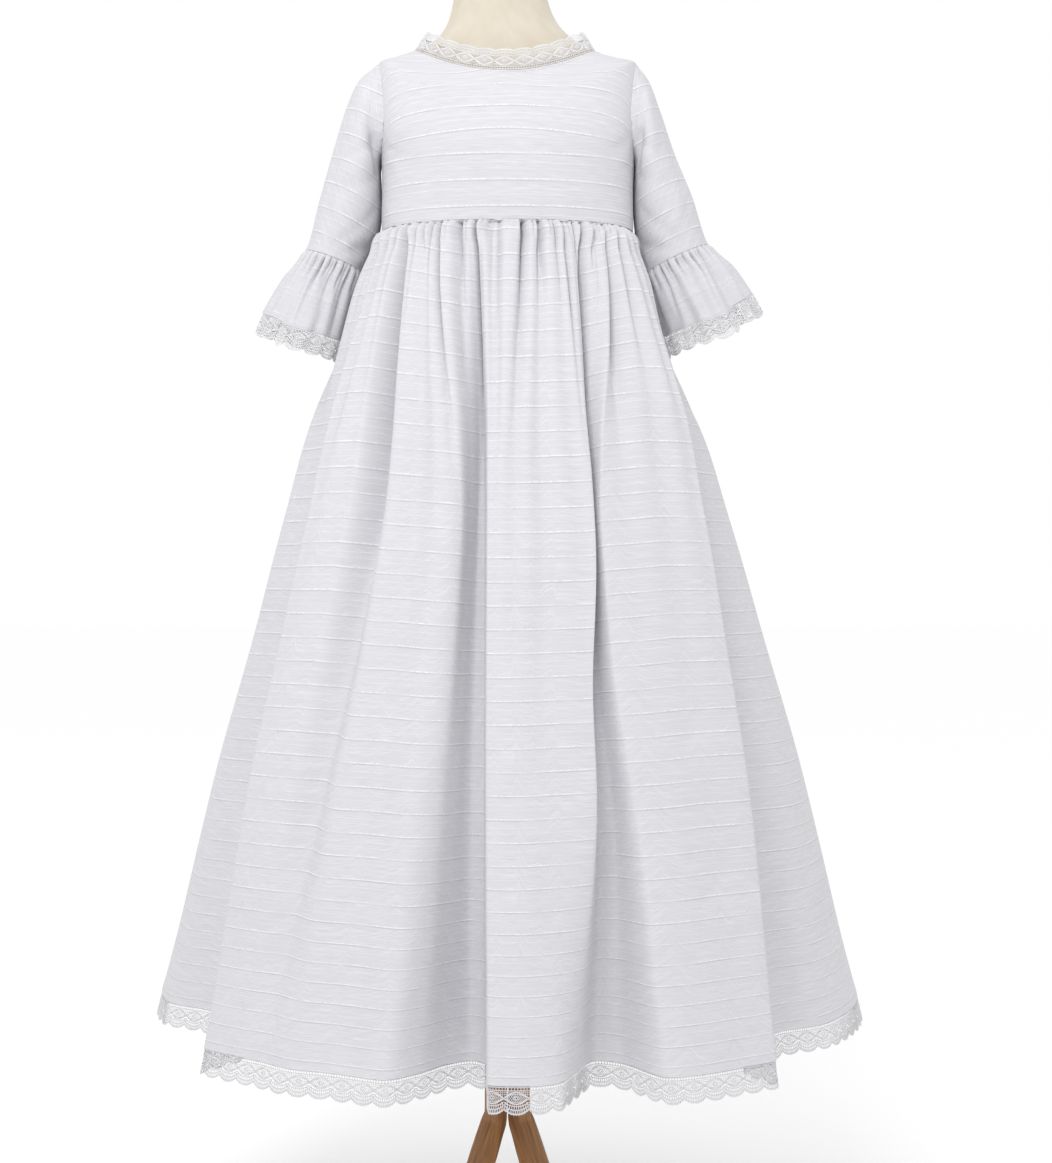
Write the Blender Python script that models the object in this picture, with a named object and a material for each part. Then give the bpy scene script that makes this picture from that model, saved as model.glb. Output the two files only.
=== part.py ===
"""A child's communion dress that stands on a limbless dress form with four curved legs.

Metres, +Z up. The origin lies on the floor under the pole. The dress faces -Y, and +X is on the
right of someone who looks at its front. Angles are degrees round the body: 0 is the centre front,
90 the side at +X, and 180 the centre back. Every piece of cloth is a wall about a middle surface,
which the tables below and the functions under them work out.
"""

import bisect
import math

import bmesh
import bpy
from mathutils import Vector

CLOTH = 0.0012
LACE = 0.0010
SEAM = 0.0003

# Steps to a neighbour for the direction square to a surface: along rings, round, and in height.
RING_STEP = 0.1
TURN_STEP = 2.0
HEIGHT_STEP = 0.004

# Edges sharper than this many degrees stay crisp.
SHARP_ANGLE = 35.0
FORM_SHARP_ANGLE = 50.0

# Rings of the upper body. A ring crosses the front, the sides and the back at its own heights.
# "ease" is how far the form lies inside the cloth's middle surface.
# "middle_x" leans the neck a little to one side, as it stands.
FORM_BOTTOM = 0.985
BODY_COLUMNS = (
    "middle_x", "z_front", "z_side", "z_back", "half_width", "front", "back", "squareness", "ease",
)
BODY_RINGS = (
    ("seat", 0.0, FORM_BOTTOM, FORM_BOTTOM, FORM_BOTTOM, 0.112, 0.076, 0.078, 2.3, 0.0),
    ("hip", 0.0, 1.030, 1.030, 1.030, 0.124, 0.084, 0.088, 2.3, 0.0),
    ("belly", 0.0, 1.090, 1.090, 1.090, 0.124, 0.080, 0.078, 2.4, 0.002),
    ("waist", 0.0, 1.1463, 1.1463, 1.1463, 0.1355, 0.087, 0.082, 2.4, 0.012),
    ("ribs", 0.0, 1.188, 1.188, 1.188, 0.1358, 0.089, 0.084, 2.4, 0.011),
    ("underarm", 0.0, 1.224, 1.228, 1.226, 0.1364, 0.090, 0.086, 2.6, 0.009),
    ("chest", 0.0, 1.247, 1.260, 1.252, 0.1393, 0.086, 0.0855, 2.8, 0.0075),
    ("armhole", 0.0, 1.269, 1.297, 1.280, 0.1410, 0.079, 0.082, 2.8, 0.005),
    ("tip", 0.0, 1.285, 1.3285, 1.302, 0.1385, 0.073, 0.0755, 2.7, 0.0022),
    ("shoulder", -0.0015, 1.296, 1.3355, 1.317, 0.1190, 0.068, 0.0655, 2.4, 0.0014),
    ("neckline", -0.0030, 1.308, 1.3420, 1.332, 0.1000, 0.062, 0.0560, 2.2, 0.0014),
    ("neck_foot", -0.0030, 1.329, 1.3550, 1.350, 0.0780, 0.0425, 0.0440, 2.1, 0.0),
    ("neck_low", -0.0050, 1.360, 1.3710, 1.370, 0.0625, 0.0405, 0.0425, 2.0, 0.0),
    ("neck", -0.0070, 1.389, 1.3900, 1.391, 0.0540, 0.0425, 0.0435, 2.0, 0.0),
    ("neck_high", -0.0082, 1.412, 1.4120, 1.412, 0.0497, 0.0445, 0.0450, 2.0, 0.0),
    ("neck_top", -0.0085, 1.445, 1.4450, 1.445, 0.0485, 0.0465, 0.0465, 2.0, 0.0),
)
BODY_NAMES = [row[0] for row in BODY_RINGS]
NECK_DOME = {"rise": 0.006, "share": 0.80}

# The armhole is an oval hole in the upper body, about the side, between two of its rings.
ARMHOLE_ANGLE = 24.0
ARMHOLE_STEPS = 10
PANEL_COLUMNS = 16

# Rings of each sleeve and its ruffle. x is measured out from the middle of the body.
# "wave" is how far the ruffle swings in and out of its ring.
SLEEVE_COLUMNS = ("outer_x", "outer_z", "inner_x", "inner_z", "half_depth", "middle_y", "wave")
SLEEVE_RINGS = {
    "right": (
        (0.1385, 1.3285, 0.1395, 1.2265, 0.0450, 0.000, 0.0),
        (0.1525, 1.3120, 0.1420, 1.2150, 0.0480, 0.002, 0.0),
        (0.1660, 1.2780, 0.1410, 1.1960, 0.0500, 0.004, 0.0),
        (0.1790, 1.2400, 0.1400, 1.1750, 0.0495, 0.006, 0.0),
        (0.2006, 1.1880, 0.1405, 1.1430, 0.0470, 0.009, 0.0),
        (0.2191, 1.1360, 0.1473, 1.1025, 0.0440, 0.012, 0.0),
        (0.2440, 1.1130, 0.1530, 1.0740, 0.0545, 0.014, 0.0045),
        (0.2660, 1.0810, 0.1660, 1.0350, 0.0640, 0.016, 0.0070),
        (0.2760, 1.0620, 0.1740, 1.0120, 0.0680, 0.017, 0.0080),
    ),
    "left": (
        (0.1385, 1.3285, 0.1395, 1.2265, 0.0450, 0.000, 0.0),
        (0.1600, 1.3125, 0.1420, 1.2160, 0.0480, 0.002, 0.0),
        (0.1745, 1.2840, 0.1415, 1.1990, 0.0500, 0.004, 0.0),
        (0.1880, 1.2400, 0.1415, 1.1780, 0.0490, 0.006, 0.0),
        (0.2040, 1.1850, 0.1440, 1.1450, 0.0460, 0.009, 0.0),
        (0.2204, 1.1296, 0.1573, 1.1056, 0.0420, 0.012, 0.0),
        (0.2440, 1.0990, 0.1620, 1.0750, 0.0520, 0.014, 0.0045),
        (0.2640, 1.0610, 0.1740, 1.0300, 0.0620, 0.016, 0.0070),
        (0.2730, 1.0400, 0.1835, 1.0040, 0.0660, 0.017, 0.0080),
    ),
}
CUFF_RING = 5.0
FRILL_EDGE_RING = 7.0
FRILL_LACE_RING = 8.0
SLEEVE_STATIONS = (0.0, 0.6, 1.5, 2.6, 3.8, 5.0)
FRILL_STATIONS = (5.0, 5.9, 7.0)
ARMHOLE_CLEARANCE = 0.0009
ARMHOLE_FADE_RING = 1.5

# The ruffle's waves: how many, how much lower they are toward the skirt, and how uneven.
FRILL_WAVES = 15
FRILL_LOWERED = 0.30
FRILL_UNEVEN = {"share": 0.25, "beats": 4, "start": 40.0}

# The skirt's outline at its ridges, by height.
SKIRT_COLUMNS = ("z", "half_width", "front", "back", "squareness", "gather_depth")
SKIRT_OUTLINE = (
    (0.2900, 0.3845, 0.3860, 0.3865, 2.0, 0.0),
    (0.3279, 0.3753, 0.3765, 0.3770, 2.0, 0.0),
    (0.3877, 0.3600, 0.3620, 0.3620, 2.0, 0.0),
    (0.4878, 0.3372, 0.3380, 0.3380, 2.0, 0.0),
    (0.5824, 0.3144, 0.3130, 0.3120, 2.0, 0.0),
    (0.7065, 0.2785, 0.2730, 0.2710, 2.0, 0.0010),
    (0.8000, 0.2515, 0.2430, 0.2410, 2.0, 0.0018),
    (0.8533, 0.2350, 0.2225, 0.2200, 2.0, 0.0024),
    (0.9143, 0.2170, 0.2000, 0.1970, 2.0, 0.0032),
    (1.0046, 0.1870, 0.1600, 0.1560, 2.1, 0.0040),
    (1.0600, 0.1675, 0.1320, 0.1280, 2.2, 0.0042),
    (1.1100, 0.1510, 0.1060, 0.1010, 2.3, 0.0036),
    (1.1300, 0.1425, 0.0955, 0.0905, 2.4, 0.0024),
    (1.1460, 0.1355, 0.0870, 0.0820, 2.4, 0.0008),
)
WAIST_Z = 1.1460
HEM_Z = 0.3255
GATHERS = 52
GATHERED_ROWS = (WAIST_Z, 1.1200, 1.0720)
FALLING_ROWS = (1.0100, 0.9200, 0.8000, 0.6700, 0.5400, 0.4150, HEM_Z)

# Steps between columns, in gathers, and how uneven the gathers are in width and in depth.
GATHERED_STEP = 0.25
FALLING_STEP = 0.50
GATHER_SPACING = {"share": 0.15, "beats": 19}
GATHER_UNEVEN = {"share": 0.35, "beats": 7, "start": 46.0}

# Fold lines from waist to hem: the gather where a line starts, its angle at two heights, and how
# far it stands out from the outline at four heights.
MID_Z = 0.800
HEM_LINE_Z = 0.310
OUT_HEIGHTS = (0.310, 0.620, 0.900, 1.060, WAIST_Z)
FOLD_COLUMNS = ("gather", "mid_angle", "hem_angle", "out_106", "out_90", "out_62", "out_31")
SKIRT_FOLDS = (
    (-13.5, -92.5, -93.0, 0.004, -0.001, -0.003, 0.0005),
    (-12.0, -82.0, -81.0, 0.010, 0.002, -0.008, -0.014),
    (-11.0, -70.0, -71.0, 0.014, -0.012, -0.036, -0.058),
    (-9.5, -57.0, -56.0, 0.010, -0.010, -0.034, -0.052),
    (-8.5, -50.5, -49.0, 0.008, 0.010, 0.004, -0.004),
    (-7.5, -44.0, -42.0, 0.004, 0.008, 0.008, 0.002),
    (-6.5, -35.5, -37.0, -0.010, -0.014, -0.004, 0.000),
    (-5.5, -27.5, -29.0, 0.004, 0.004, 0.006, 0.004),
    (-5.0, -23.0, -23.5, -0.002, -0.002, 0.000, -0.001),
    (-4.5, -16.5, -17.0, 0.005, 0.006, 0.006, 0.004),
    (-3.5, -11.5, -12.5, 0.002, -0.006, -0.014, -0.030),
    (-2.5, -9.5, -10.0, -0.010, -0.034, -0.056, -0.084),
    (-2.0, -7.0, -6.0, -0.012, -0.040, -0.064, -0.094),
    (-1.5, -5.5, -3.2, -0.008, -0.026, -0.046, -0.072),
    (-0.5, -3.3, -1.6, 0.006, 0.008, 0.010, 0.008),
    (0.5, 2.0, 2.5, 0.006, 0.010, 0.014, 0.012),
    (1.5, 8.5, 7.0, 0.003, 0.006, 0.008, 0.004),
    (3.0, 20.5, 10.5, 0.005, 0.006, 0.002, -0.032),
    (4.5, 22.5, 16.0, -0.010, -0.022, -0.045, -0.082),
    (5.0, 23.8, 19.5, -0.006, -0.018, -0.036, -0.064),
    (6.0, 26.0, 22.5, 0.005, 0.005, 0.006, 0.010),
    (6.5, 31.0, 28.0, -0.008, 0.002, 0.010, 0.014),
    (7.5, 38.5, 33.0, 0.006, 0.010, 0.012, 0.013),
    (8.5, 49.5, 40.0, 0.010, 0.012, 0.008, 0.006),
    (9.5, 55.5, 46.5, 0.004, -0.010, -0.026, -0.040),
    (10.5, 61.0, 54.0, 0.008, -0.016, -0.034, -0.050),
    (11.5, 72.0, 65.0, 0.008, -0.008, -0.012, -0.020),
    (13.0, 90.0, 89.0, 0.002, 0.000, -0.001, 0.0005),
    (14.5, 101.0, 101.0, 0.000, -0.010, -0.026, -0.044),
    (15.5, 108.0, 109.0, 0.002, -0.006, -0.016, -0.030),
    (16.5, 114.0, 115.0, 0.004, 0.006, 0.008, 0.008),
    (18.0, 124.0, 125.0, 0.002, 0.002, 0.004, 0.002),
    (19.5, 134.0, 136.0, 0.005, 0.008, 0.010, 0.010),
    (20.5, 141.0, 143.5, -0.006, -0.016, -0.030, -0.050),
    (21.5, 146.0, 149.0, -0.010, -0.028, -0.050, -0.082),
    (22.5, 151.0, 153.0, 0.002, -0.004, -0.012, -0.030),
    (23.5, 158.0, 160.0, 0.006, 0.008, 0.010, 0.010),
    (25.0, 171.0, 172.0, 0.002, 0.004, 0.008, 0.015),
    (26.5, 183.0, 183.0, -0.004, -0.006, -0.004, -0.001),
    (28.0, 193.0, 192.0, 0.005, 0.008, 0.012, 0.016),
    (29.0, 199.0, 197.0, -0.006, -0.018, -0.034, -0.058),
    (30.0, 205.0, 202.0, -0.010, -0.026, -0.050, -0.078),
    (31.0, 211.0, 208.0, 0.003, 0.002, -0.004, -0.016),
    (32.5, 221.0, 220.0, 0.006, 0.008, 0.010, 0.010),
    (33.5, 230.0, 229.0, -0.005, -0.004, 0.000, 0.001),
    (35.0, 242.0, 241.0, 0.005, 0.008, 0.008, 0.006),
    (36.5, 254.0, 253.0, -0.002, -0.016, -0.034, -0.052),
    (37.5, 261.0, 261.0, 0.004, -0.004, -0.014, -0.024),
)

# Where a ruffle lies against the skirt, the skirt is pressed in, less on the left.
DENT = {"angle": 93.0, "angle_spread": 17.0, "z": 1.035, "z_spread": 0.050, "depth": 0.025}
DENT_LEFT_SHARE = 0.72

# Lace repeats hang from an edge: a scallop is deepest at its middle.
LACE_REPEAT = 0.0222
LACE_DEPTH = 0.0250
LACE_NOTCH = 0.0060
LACE_STEPS = 3

# The collar lace stands up from the neckline and leans in to the neck.
COLLAR_LEAN = {"x": 0.86, "y": 0.85, "rise": 0.0205}
COLLAR_CLEARANCE = 0.0009
COLLAR_BACK_SLIT = 1.0

# The stand: plate, pole and hub are turned, and a leg is a flat bar along a curved path.
HUB_BOTTOM = 0.262
PLATE = {"radius": 0.060, "height": 0.012, "chamfer": 0.002, "sides": 24}
HUB = {"radius": 0.034, "height": 0.045, "chamfer": 0.003, "sides": 24}
PLATE_BOTTOM = FORM_BOTTOM - SEAM - PLATE["height"]
POLE_BOTTOM = HUB_BOTTOM + HUB["height"] + SEAM
POLE = {"radius": 0.012, "height": PLATE_BOTTOM - SEAM - POLE_BOTTOM, "chamfer": 0.001, "sides": 16}
LEG_THICKNESS = 0.0175
LEG_COLUMNS = ("radius", "z", "width")
LEG_PATH = (
    (0.0178, HUB_BOTTOM - SEAM, 0.0172),
    (0.0178, 0.2150, 0.0172),
    (0.0196, 0.1890, 0.0178),
    (0.0256, 0.1736, 0.0205),
    (0.0396, 0.1455, 0.0240),
    (0.0580, 0.1130, 0.0255),
    (0.0830, 0.0800, 0.0255),
    (0.1130, 0.0500, 0.0250),
    (0.1480, 0.0260, 0.0240),
    (0.1830, 0.0115, 0.0220),
    (0.2050, LEG_THICKNESS / 2, 0.0210),
    (0.2320, LEG_THICKNESS / 2, 0.0200),
)

# The back pair of legs stands closer together, so that the front pair hides it, and starts a
# little further out under the hub.
LEG_ANGLES = {"leg_front_right": 45.0, "leg_front_left": -45.0,
              "leg_back_right": 145.0, "leg_back_left": -145.0}
BACK_LEG_OFFSET = 0.0055
BACK_LEG_FADE_Z = 0.120

FINISHES = {
    "voile": {"color": (0.80, 0.80, 0.83), "roughness": 0.85},
    "lace": {"color": (0.84, 0.84, 0.86), "roughness": 0.80},
    "form_cloth": {"color": (0.78, 0.71, 0.60), "roughness": 0.90},
    "wood": {"color": (0.30, 0.16, 0.09), "roughness": 0.50},
}


def smooth_value(knots, values, at):
    """Read a smooth curve through the values at rising knots, which never overshoots them."""
    if at <= knots[0]:
        return values[0]
    if at >= knots[-1]:
        return values[-1]
    first = bisect.bisect_right(knots, at) - 1

    def rise(k):
        return (values[k + 1] - values[k]) / (knots[k + 1] - knots[k])

    def slope(k):
        if k == 0:
            return rise(0)
        if k == len(knots) - 1:
            return rise(k - 1)
        before = rise(k - 1)
        after = rise(k)
        if before * after <= 0.0:
            return 0.0
        return 2.0 * before * after / (before + after)

    span = knots[first + 1] - knots[first]
    t = (at - knots[first]) / span
    start = values[first] * (1 + 2 * t) * (1 - t) ** 2 + slope(first) * span * t * (1 - t) ** 2
    end = values[first + 1] * t * t * (3 - 2 * t) - slope(first + 1) * span * t * t * (1 - t)
    return start + end


def read_row(rows, columns, at, knots=None):
    """Read every named column of a table at a place between its rows."""
    places = knots or list(range(len(rows)))
    return {
        name: smooth_value(places, [row[number] for row in rows], at)
        for number, name in enumerate(columns)
    }


def signed_power(value, power):
    return math.copysign(abs(value) ** power, value)


def oval(angle, half_width, front, back, squareness):
    """A point of a rounded oval, as x and y."""
    across = math.sin(math.radians(angle))
    ahead = math.cos(math.radians(angle))
    power = 2.0 / squareness
    depth = front if ahead > 0 else back
    return half_width * signed_power(across, power), -depth * signed_power(ahead, power)


# Upper body

BODY_VALUES = [row[1:] for row in BODY_RINGS]


def level_of(name):
    return float(BODY_NAMES.index(name))


def body_ring(name):
    """The named columns of one ring of the upper body."""
    return dict(zip(BODY_COLUMNS, BODY_VALUES[BODY_NAMES.index(name)]))


def body_point(angle, level):
    """A point of the upper body's middle surface, at a level between two named rings."""
    ring = read_row(BODY_VALUES, BODY_COLUMNS, level)
    x, y = oval(angle, ring["half_width"], ring["front"], ring["back"], ring["squareness"])
    side_share = math.sin(math.radians(angle)) ** 2
    middle = ring["z_front"] if math.cos(math.radians(angle)) > 0 else ring["z_back"]
    z = middle + (ring["z_side"] - middle) * side_share
    return Vector((x + ring["middle_x"], y, z))


def body_normal(angle, level):
    low = max(level - RING_STEP, 0.0)
    high = min(level + RING_STEP, len(BODY_RINGS) - 1.0)
    along = body_point(angle, high) - body_point(angle, low)
    across = body_point(angle + TURN_STEP, level) - body_point(angle - TURN_STEP, level)
    return across.cross(along).normalized()


ARMHOLE_MIDDLE = (level_of("underarm") + level_of("tip")) / 2
ARMHOLE_HALF = (level_of("tip") - level_of("underarm")) / 2


def armhole_level(turn):
    """The level on the armhole's edge, where turn 0 is the shoulder tip and 180 the underarm."""
    return ARMHOLE_MIDDLE + ARMHOLE_HALF * math.cos(math.radians(turn))


def armhole_half_angle(level):
    """How far round from the side the armhole's edge lies at a level."""
    share = (level - ARMHOLE_MIDDLE) / ARMHOLE_HALF
    return ARMHOLE_ANGLE * math.sqrt(max(0.0, 1.0 - share * share))


def bodice_levels():
    """Levels of the bodice's rows: waist, underarm, up the armhole, shoulder seam and neckline."""
    levels = [level_of("waist"), level_of("ribs")]
    for step in range(ARMHOLE_STEPS + 1):
        levels.append(armhole_level(180.0 - 180.0 * step / ARMHOLE_STEPS))
    levels += [level_of("shoulder"), level_of("neckline")]
    return levels


def seamed(point, normal, direction):
    """Draw a point back from a seam, and square its wall to the seam's plane."""
    flat = (normal - direction * normal.dot(direction)).normalized()
    return point - direction * (SEAM / 2), flat


def bodice_rows(first_angle, last_angle, columns):
    """Rows of a bodice panel between two seams, cut away round the armhole."""
    rows = []
    for level in bodice_levels():
        away = armhole_half_angle(level)
        start = first_angle + away if abs(first_angle) == 90.0 else first_angle
        end = last_angle - away if abs(last_angle) in (90.0, 270.0) else last_angle
        row = []
        for column in range(columns + 1):
            angle = start + (end - start) * column / columns
            point = body_point(angle, level)
            normal = body_normal(angle, level)
            at_edge = {0: first_angle, columns: last_angle}.get(column)
            if at_edge is not None and (away < 1e-6 or at_edge == 180.0):
                toward_seam = 1.0 if column else -1.0
                radians = math.radians(at_edge)
                round_body = Vector((math.cos(radians), math.sin(radians), 0.0))
                point, normal = seamed(point, normal, round_body * toward_seam)
            row.append((point, normal))
        rows.append(row)
    return rows


# Sleeves and their ruffles

def sleeve_point(turn, station, side):
    """A point of a sleeve or its ruffle, where turn 0 is the outer line and 90 the front."""
    ring = read_row(SLEEVE_RINGS[side], SLEEVE_COLUMNS, station)
    mirror = 1.0 if side == "right" else -1.0
    outer = Vector((ring["outer_x"], ring["middle_y"], ring["outer_z"]))
    inner = Vector((ring["inner_x"], ring["middle_y"], ring["inner_z"]))
    radians = math.radians(turn)
    point = (outer + inner) / 2 + (outer - inner) / 2 * math.cos(radians)
    point.y -= ring["half_depth"] * math.sin(radians)
    point += armhole_shift(turn, station)
    point.x *= mirror
    return point


def armhole_shift(turn, station):
    """What brings the sleeve's first rings to the armhole's edge, on the side at +X."""
    fade = max(0.0, 1.0 - station / ARMHOLE_FADE_RING) ** 2
    if fade == 0.0:
        return Vector((0.0, 0.0, 0.0))
    level = armhole_level(turn)
    around = math.copysign(armhole_half_angle(level), math.sin(math.radians(turn)))
    edge = body_point(90.0 - around, level)
    at_underarm = max(0.0, -math.cos(math.radians(turn)))
    edge.x += ARMHOLE_CLEARANCE + CLOTH / 2 * at_underarm
    ring = dict(zip(SLEEVE_COLUMNS, SLEEVE_RINGS["right"][0]))
    radians = math.radians(turn)
    x = (ring["outer_x"] + ring["inner_x"]) / 2
    x += (ring["outer_x"] - ring["inner_x"]) / 2 * math.cos(radians)
    z = (ring["outer_z"] + ring["inner_z"]) / 2
    z += (ring["outer_z"] - ring["inner_z"]) / 2 * math.cos(radians)
    y = ring["middle_y"] - ring["half_depth"] * math.sin(radians)
    return (edge - Vector((x, y, z))) * fade


def sleeve_normal(turn, station, side):
    after = sleeve_point(turn + TURN_STEP, station, side)
    before = sleeve_point(turn - TURN_STEP, station, side)
    low = max(0.0, station - RING_STEP)
    down = sleeve_point(turn, station + RING_STEP, side) - sleeve_point(turn, low, side)
    normal = (after - before).cross(down).normalized()
    middle = (sleeve_point(0.0, station, side) + sleeve_point(180.0, station, side)) / 2
    if normal.dot(sleeve_point(turn, station, side) - middle) < 0:
        normal.negate()
    return normal


def sleeve_rows(side):
    rows = []
    columns = 2 * ARMHOLE_STEPS
    for station in SLEEVE_STATIONS:
        row = []
        for column in range(columns):
            turn = 360.0 * column / columns
            row.append((sleeve_point(turn, station, side), sleeve_normal(turn, station, side)))
        rows.append(row)
    return rows


def frill_point(turn, station, side):
    """A point of the ruffle's waves; they are lower where the ruffle lies against the skirt."""
    wave = read_row(SLEEVE_RINGS[side], SLEEVE_COLUMNS, station)["wave"]
    lowered = FRILL_LOWERED * (1.0 - math.cos(math.radians(turn)))
    beats = math.radians(FRILL_UNEVEN["beats"] * turn + FRILL_UNEVEN["start"])
    uneven = 1.0 + FRILL_UNEVEN["share"] * math.sin(beats)
    swing = wave * (1.0 - lowered) * uneven * math.cos(math.radians(turn * FRILL_WAVES))
    return sleeve_point(turn, station, side) + sleeve_normal(turn, station, side) * swing


def frill_normal(turn, station, side):
    step = 90.0 / FRILL_WAVES
    around = frill_point(turn + step, station, side) - frill_point(turn - step, station, side)
    below = frill_point(turn, station + RING_STEP, side)
    normal = around.cross(below - frill_point(turn, station - RING_STEP, side)).normalized()
    if normal.dot(sleeve_normal(turn, station, side)) < 0:
        normal.negate()
    return normal


def frill_rows(side):
    """Rows of a ruffle, which starts a seam's gap below the cuff."""
    rows = []
    columns = 4 * FRILL_WAVES
    for station in FRILL_STATIONS:
        row = []
        for column in range(columns):
            turn = 360.0 * column / columns
            point = frill_point(turn, station, side)
            normal = frill_normal(turn, station, side)
            if station == CUFF_RING:
                normal = sleeve_normal(turn, station, side)
                below = frill_point(turn, station + RING_STEP, side) - point
                point = point + below.normalized() * SEAM
            row.append((point, normal))
        rows.append(row)
    return rows


# Skirt

SKIRT_HEIGHTS = [row[0] for row in SKIRT_OUTLINE]


def round_the_waist(folds):
    """Repeat the last and first fold lines beyond the centre back, so that they join."""
    before = [(row[0] - GATHERS, row[1] - 360.0, row[2] - 360.0) + row[3:] for row in folds[-3:]]
    after = [(row[0] + GATHERS, row[1] + 360.0, row[2] + 360.0) + row[3:] for row in folds[:5]]
    return before + list(folds) + after


FOLDS = round_the_waist(SKIRT_FOLDS)
FOLD_STARTS = [row[0] for row in FOLDS]


def skirt_point(gather, z):
    """A point of the skirt's middle surface, by the gather that it hangs from and its height."""
    outline = read_row(SKIRT_OUTLINE, SKIRT_COLUMNS, z, SKIRT_HEIGHTS)
    fold = read_row(FOLDS, FOLD_COLUMNS, gather, FOLD_STARTS)
    round_waist = 2 * math.pi * gather / GATHERS
    spacing = GATHER_SPACING["share"] * math.sin(GATHER_SPACING["beats"] * round_waist)
    waist_angle = 360.0 / GATHERS * (gather + spacing)
    angles = (fold["hem_angle"], fold["mid_angle"], waist_angle)
    angle = smooth_value((HEM_LINE_Z, MID_Z, WAIST_Z), angles, z)
    outs = (fold["out_31"], fold["out_62"], fold["out_90"], fold["out_106"], 0.0)
    out = smooth_value(OUT_HEIGHTS, outs, z)
    beats = GATHER_UNEVEN["beats"] * round_waist + math.radians(GATHER_UNEVEN["start"])
    uneven = 1.0 + GATHER_UNEVEN["share"] * math.sin(beats)
    out += outline["gather_depth"] * uneven * math.cos(2 * math.pi * gather)
    out -= skirt_dent(angle, z)
    x, y = oval(angle, outline["half_width"], outline["front"], outline["back"],
                outline["squareness"])
    outward = Vector((x, y, 0.0)).normalized()
    return Vector((x, y, z)) + outward * out


def skirt_dent(angle, z):
    from_side = abs((angle + 180.0) % 360.0 - 180.0) - DENT["angle"]
    across = math.exp(-0.5 * (from_side / DENT["angle_spread"]) ** 2)
    upright = math.exp(-0.5 * ((z - DENT["z"]) / DENT["z_spread"]) ** 2)
    share = DENT_LEFT_SHARE if math.sin(math.radians(angle)) < 0 else 1.0
    return DENT["depth"] * share * across * upright


def skirt_normal(gather, z, step):
    across = skirt_point(gather + step, z) - skirt_point(gather - step, z)
    along = skirt_point(gather, z + HEIGHT_STEP) - skirt_point(gather, z - HEIGHT_STEP)
    return across.cross(along).normalized()


def skirt_edge(gather, z, step, toward):
    """A point on a seam of the skirt, drawn back from the panel beyond it."""
    point = skirt_point(gather, z)
    normal = skirt_normal(gather, z, step)
    across = skirt_point(gather + step, z) - skirt_point(gather - step, z)
    direction = (across - normal * across.dot(normal)).normalized() * toward
    return point - direction * (SEAM / 2), normal


def skirt_rows(first, last):
    """Rows of a skirt panel between two gathers; the falling part has half the columns."""
    rows = []
    for z in GATHERED_ROWS + FALLING_ROWS:
        step = GATHERED_STEP if z in GATHERED_ROWS else FALLING_STEP
        height = z - SEAM if z == WAIST_Z else z
        count = round((last - first) / step)
        row = [skirt_edge(first, height, step, -1.0)]
        for column in range(1, count):
            gather = first + column * step
            row.append((skirt_point(gather, height), skirt_normal(gather, height, step)))
        row.append(skirt_edge(last, height, step, 1.0))
        rows.append(row)
    return rows


# Lace

def lace_rows(top, bottom, normals, closed):
    """Rows of a scalloped band that hangs between two lines of points."""
    if closed:
        top = top + top[:1]
        bottom = bottom + bottom[:1]
        normals = normals + normals[:1]
    lengths = [0.0]
    for before, after in zip(top, top[1:]):
        lengths.append(lengths[-1] + (after - before).length)
    repeats = round(lengths[-1] / LACE_REPEAT)
    count = repeats * LACE_STEPS
    upper = []
    lower = []
    for number in range(count if closed else count + 1):
        along = lengths[-1] * number / count
        first = min(bisect.bisect_right(lengths, along) - 1, len(top) - 2)
        share = (along - lengths[first]) / (lengths[first + 1] - lengths[first])
        start = top[first].lerp(top[first + 1], share)
        end = bottom[first].lerp(bottom[first + 1], share)
        normal = normals[first].lerp(normals[first + 1], share).normalized()
        notch = LACE_NOTCH if number % LACE_STEPS == 0 else 0.0
        fall = (end - start).normalized()
        upper.append((start + fall * SEAM, normal))
        lower.append((start + fall * (LACE_DEPTH - notch), normal))
    return [upper, lower]


def hem_lace_rows(first, last):
    count = round((last - first) / FALLING_STEP)
    gathers = [first + FALLING_STEP * number for number in range(count + 1)]
    ends = (first, last)
    top = []
    for gather in gathers:
        toward = -1.0 if gather == first else 1.0
        if gather in ends:
            top.append(skirt_edge(gather, HEM_Z, FALLING_STEP, toward)[0])
        else:
            top.append(skirt_point(gather, HEM_Z))
    shift = [point - skirt_point(gather, HEM_Z) for point, gather in zip(top, gathers)]
    lower_z = HEM_Z - LACE_DEPTH
    bottom = [skirt_point(gather, lower_z) + move for gather, move in zip(gathers, shift)]
    normals = [skirt_normal(gather, HEM_Z, FALLING_STEP) for gather in gathers]
    return lace_rows(top, bottom, normals, closed=False)


def frill_lace_rows(side):
    columns = 4 * FRILL_WAVES
    turns = [360.0 * column / columns for column in range(columns)]
    top = [frill_point(turn, FRILL_EDGE_RING, side) for turn in turns]
    bottom = [frill_point(turn, FRILL_LACE_RING, side) for turn in turns]
    normals = [frill_normal(turn, FRILL_EDGE_RING, side) for turn in turns]
    return lace_rows(top, bottom, normals, closed=True)


def collar_foot(angle):
    """The collar's seam line, just inside the neckline's cut edge."""
    level = level_of("neckline")
    edge = body_point(angle, level)
    inward = (body_point(angle, level + RING_STEP) - edge).normalized()
    return edge + inward * COLLAR_CLEARANCE


def collar_top(angle):
    foot = collar_foot(angle)
    lean = Vector((foot.x * COLLAR_LEAN["x"], foot.y * COLLAR_LEAN["y"], foot.z))
    return lean + Vector((0.0, 0.0, COLLAR_LEAN["rise"]))


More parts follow.
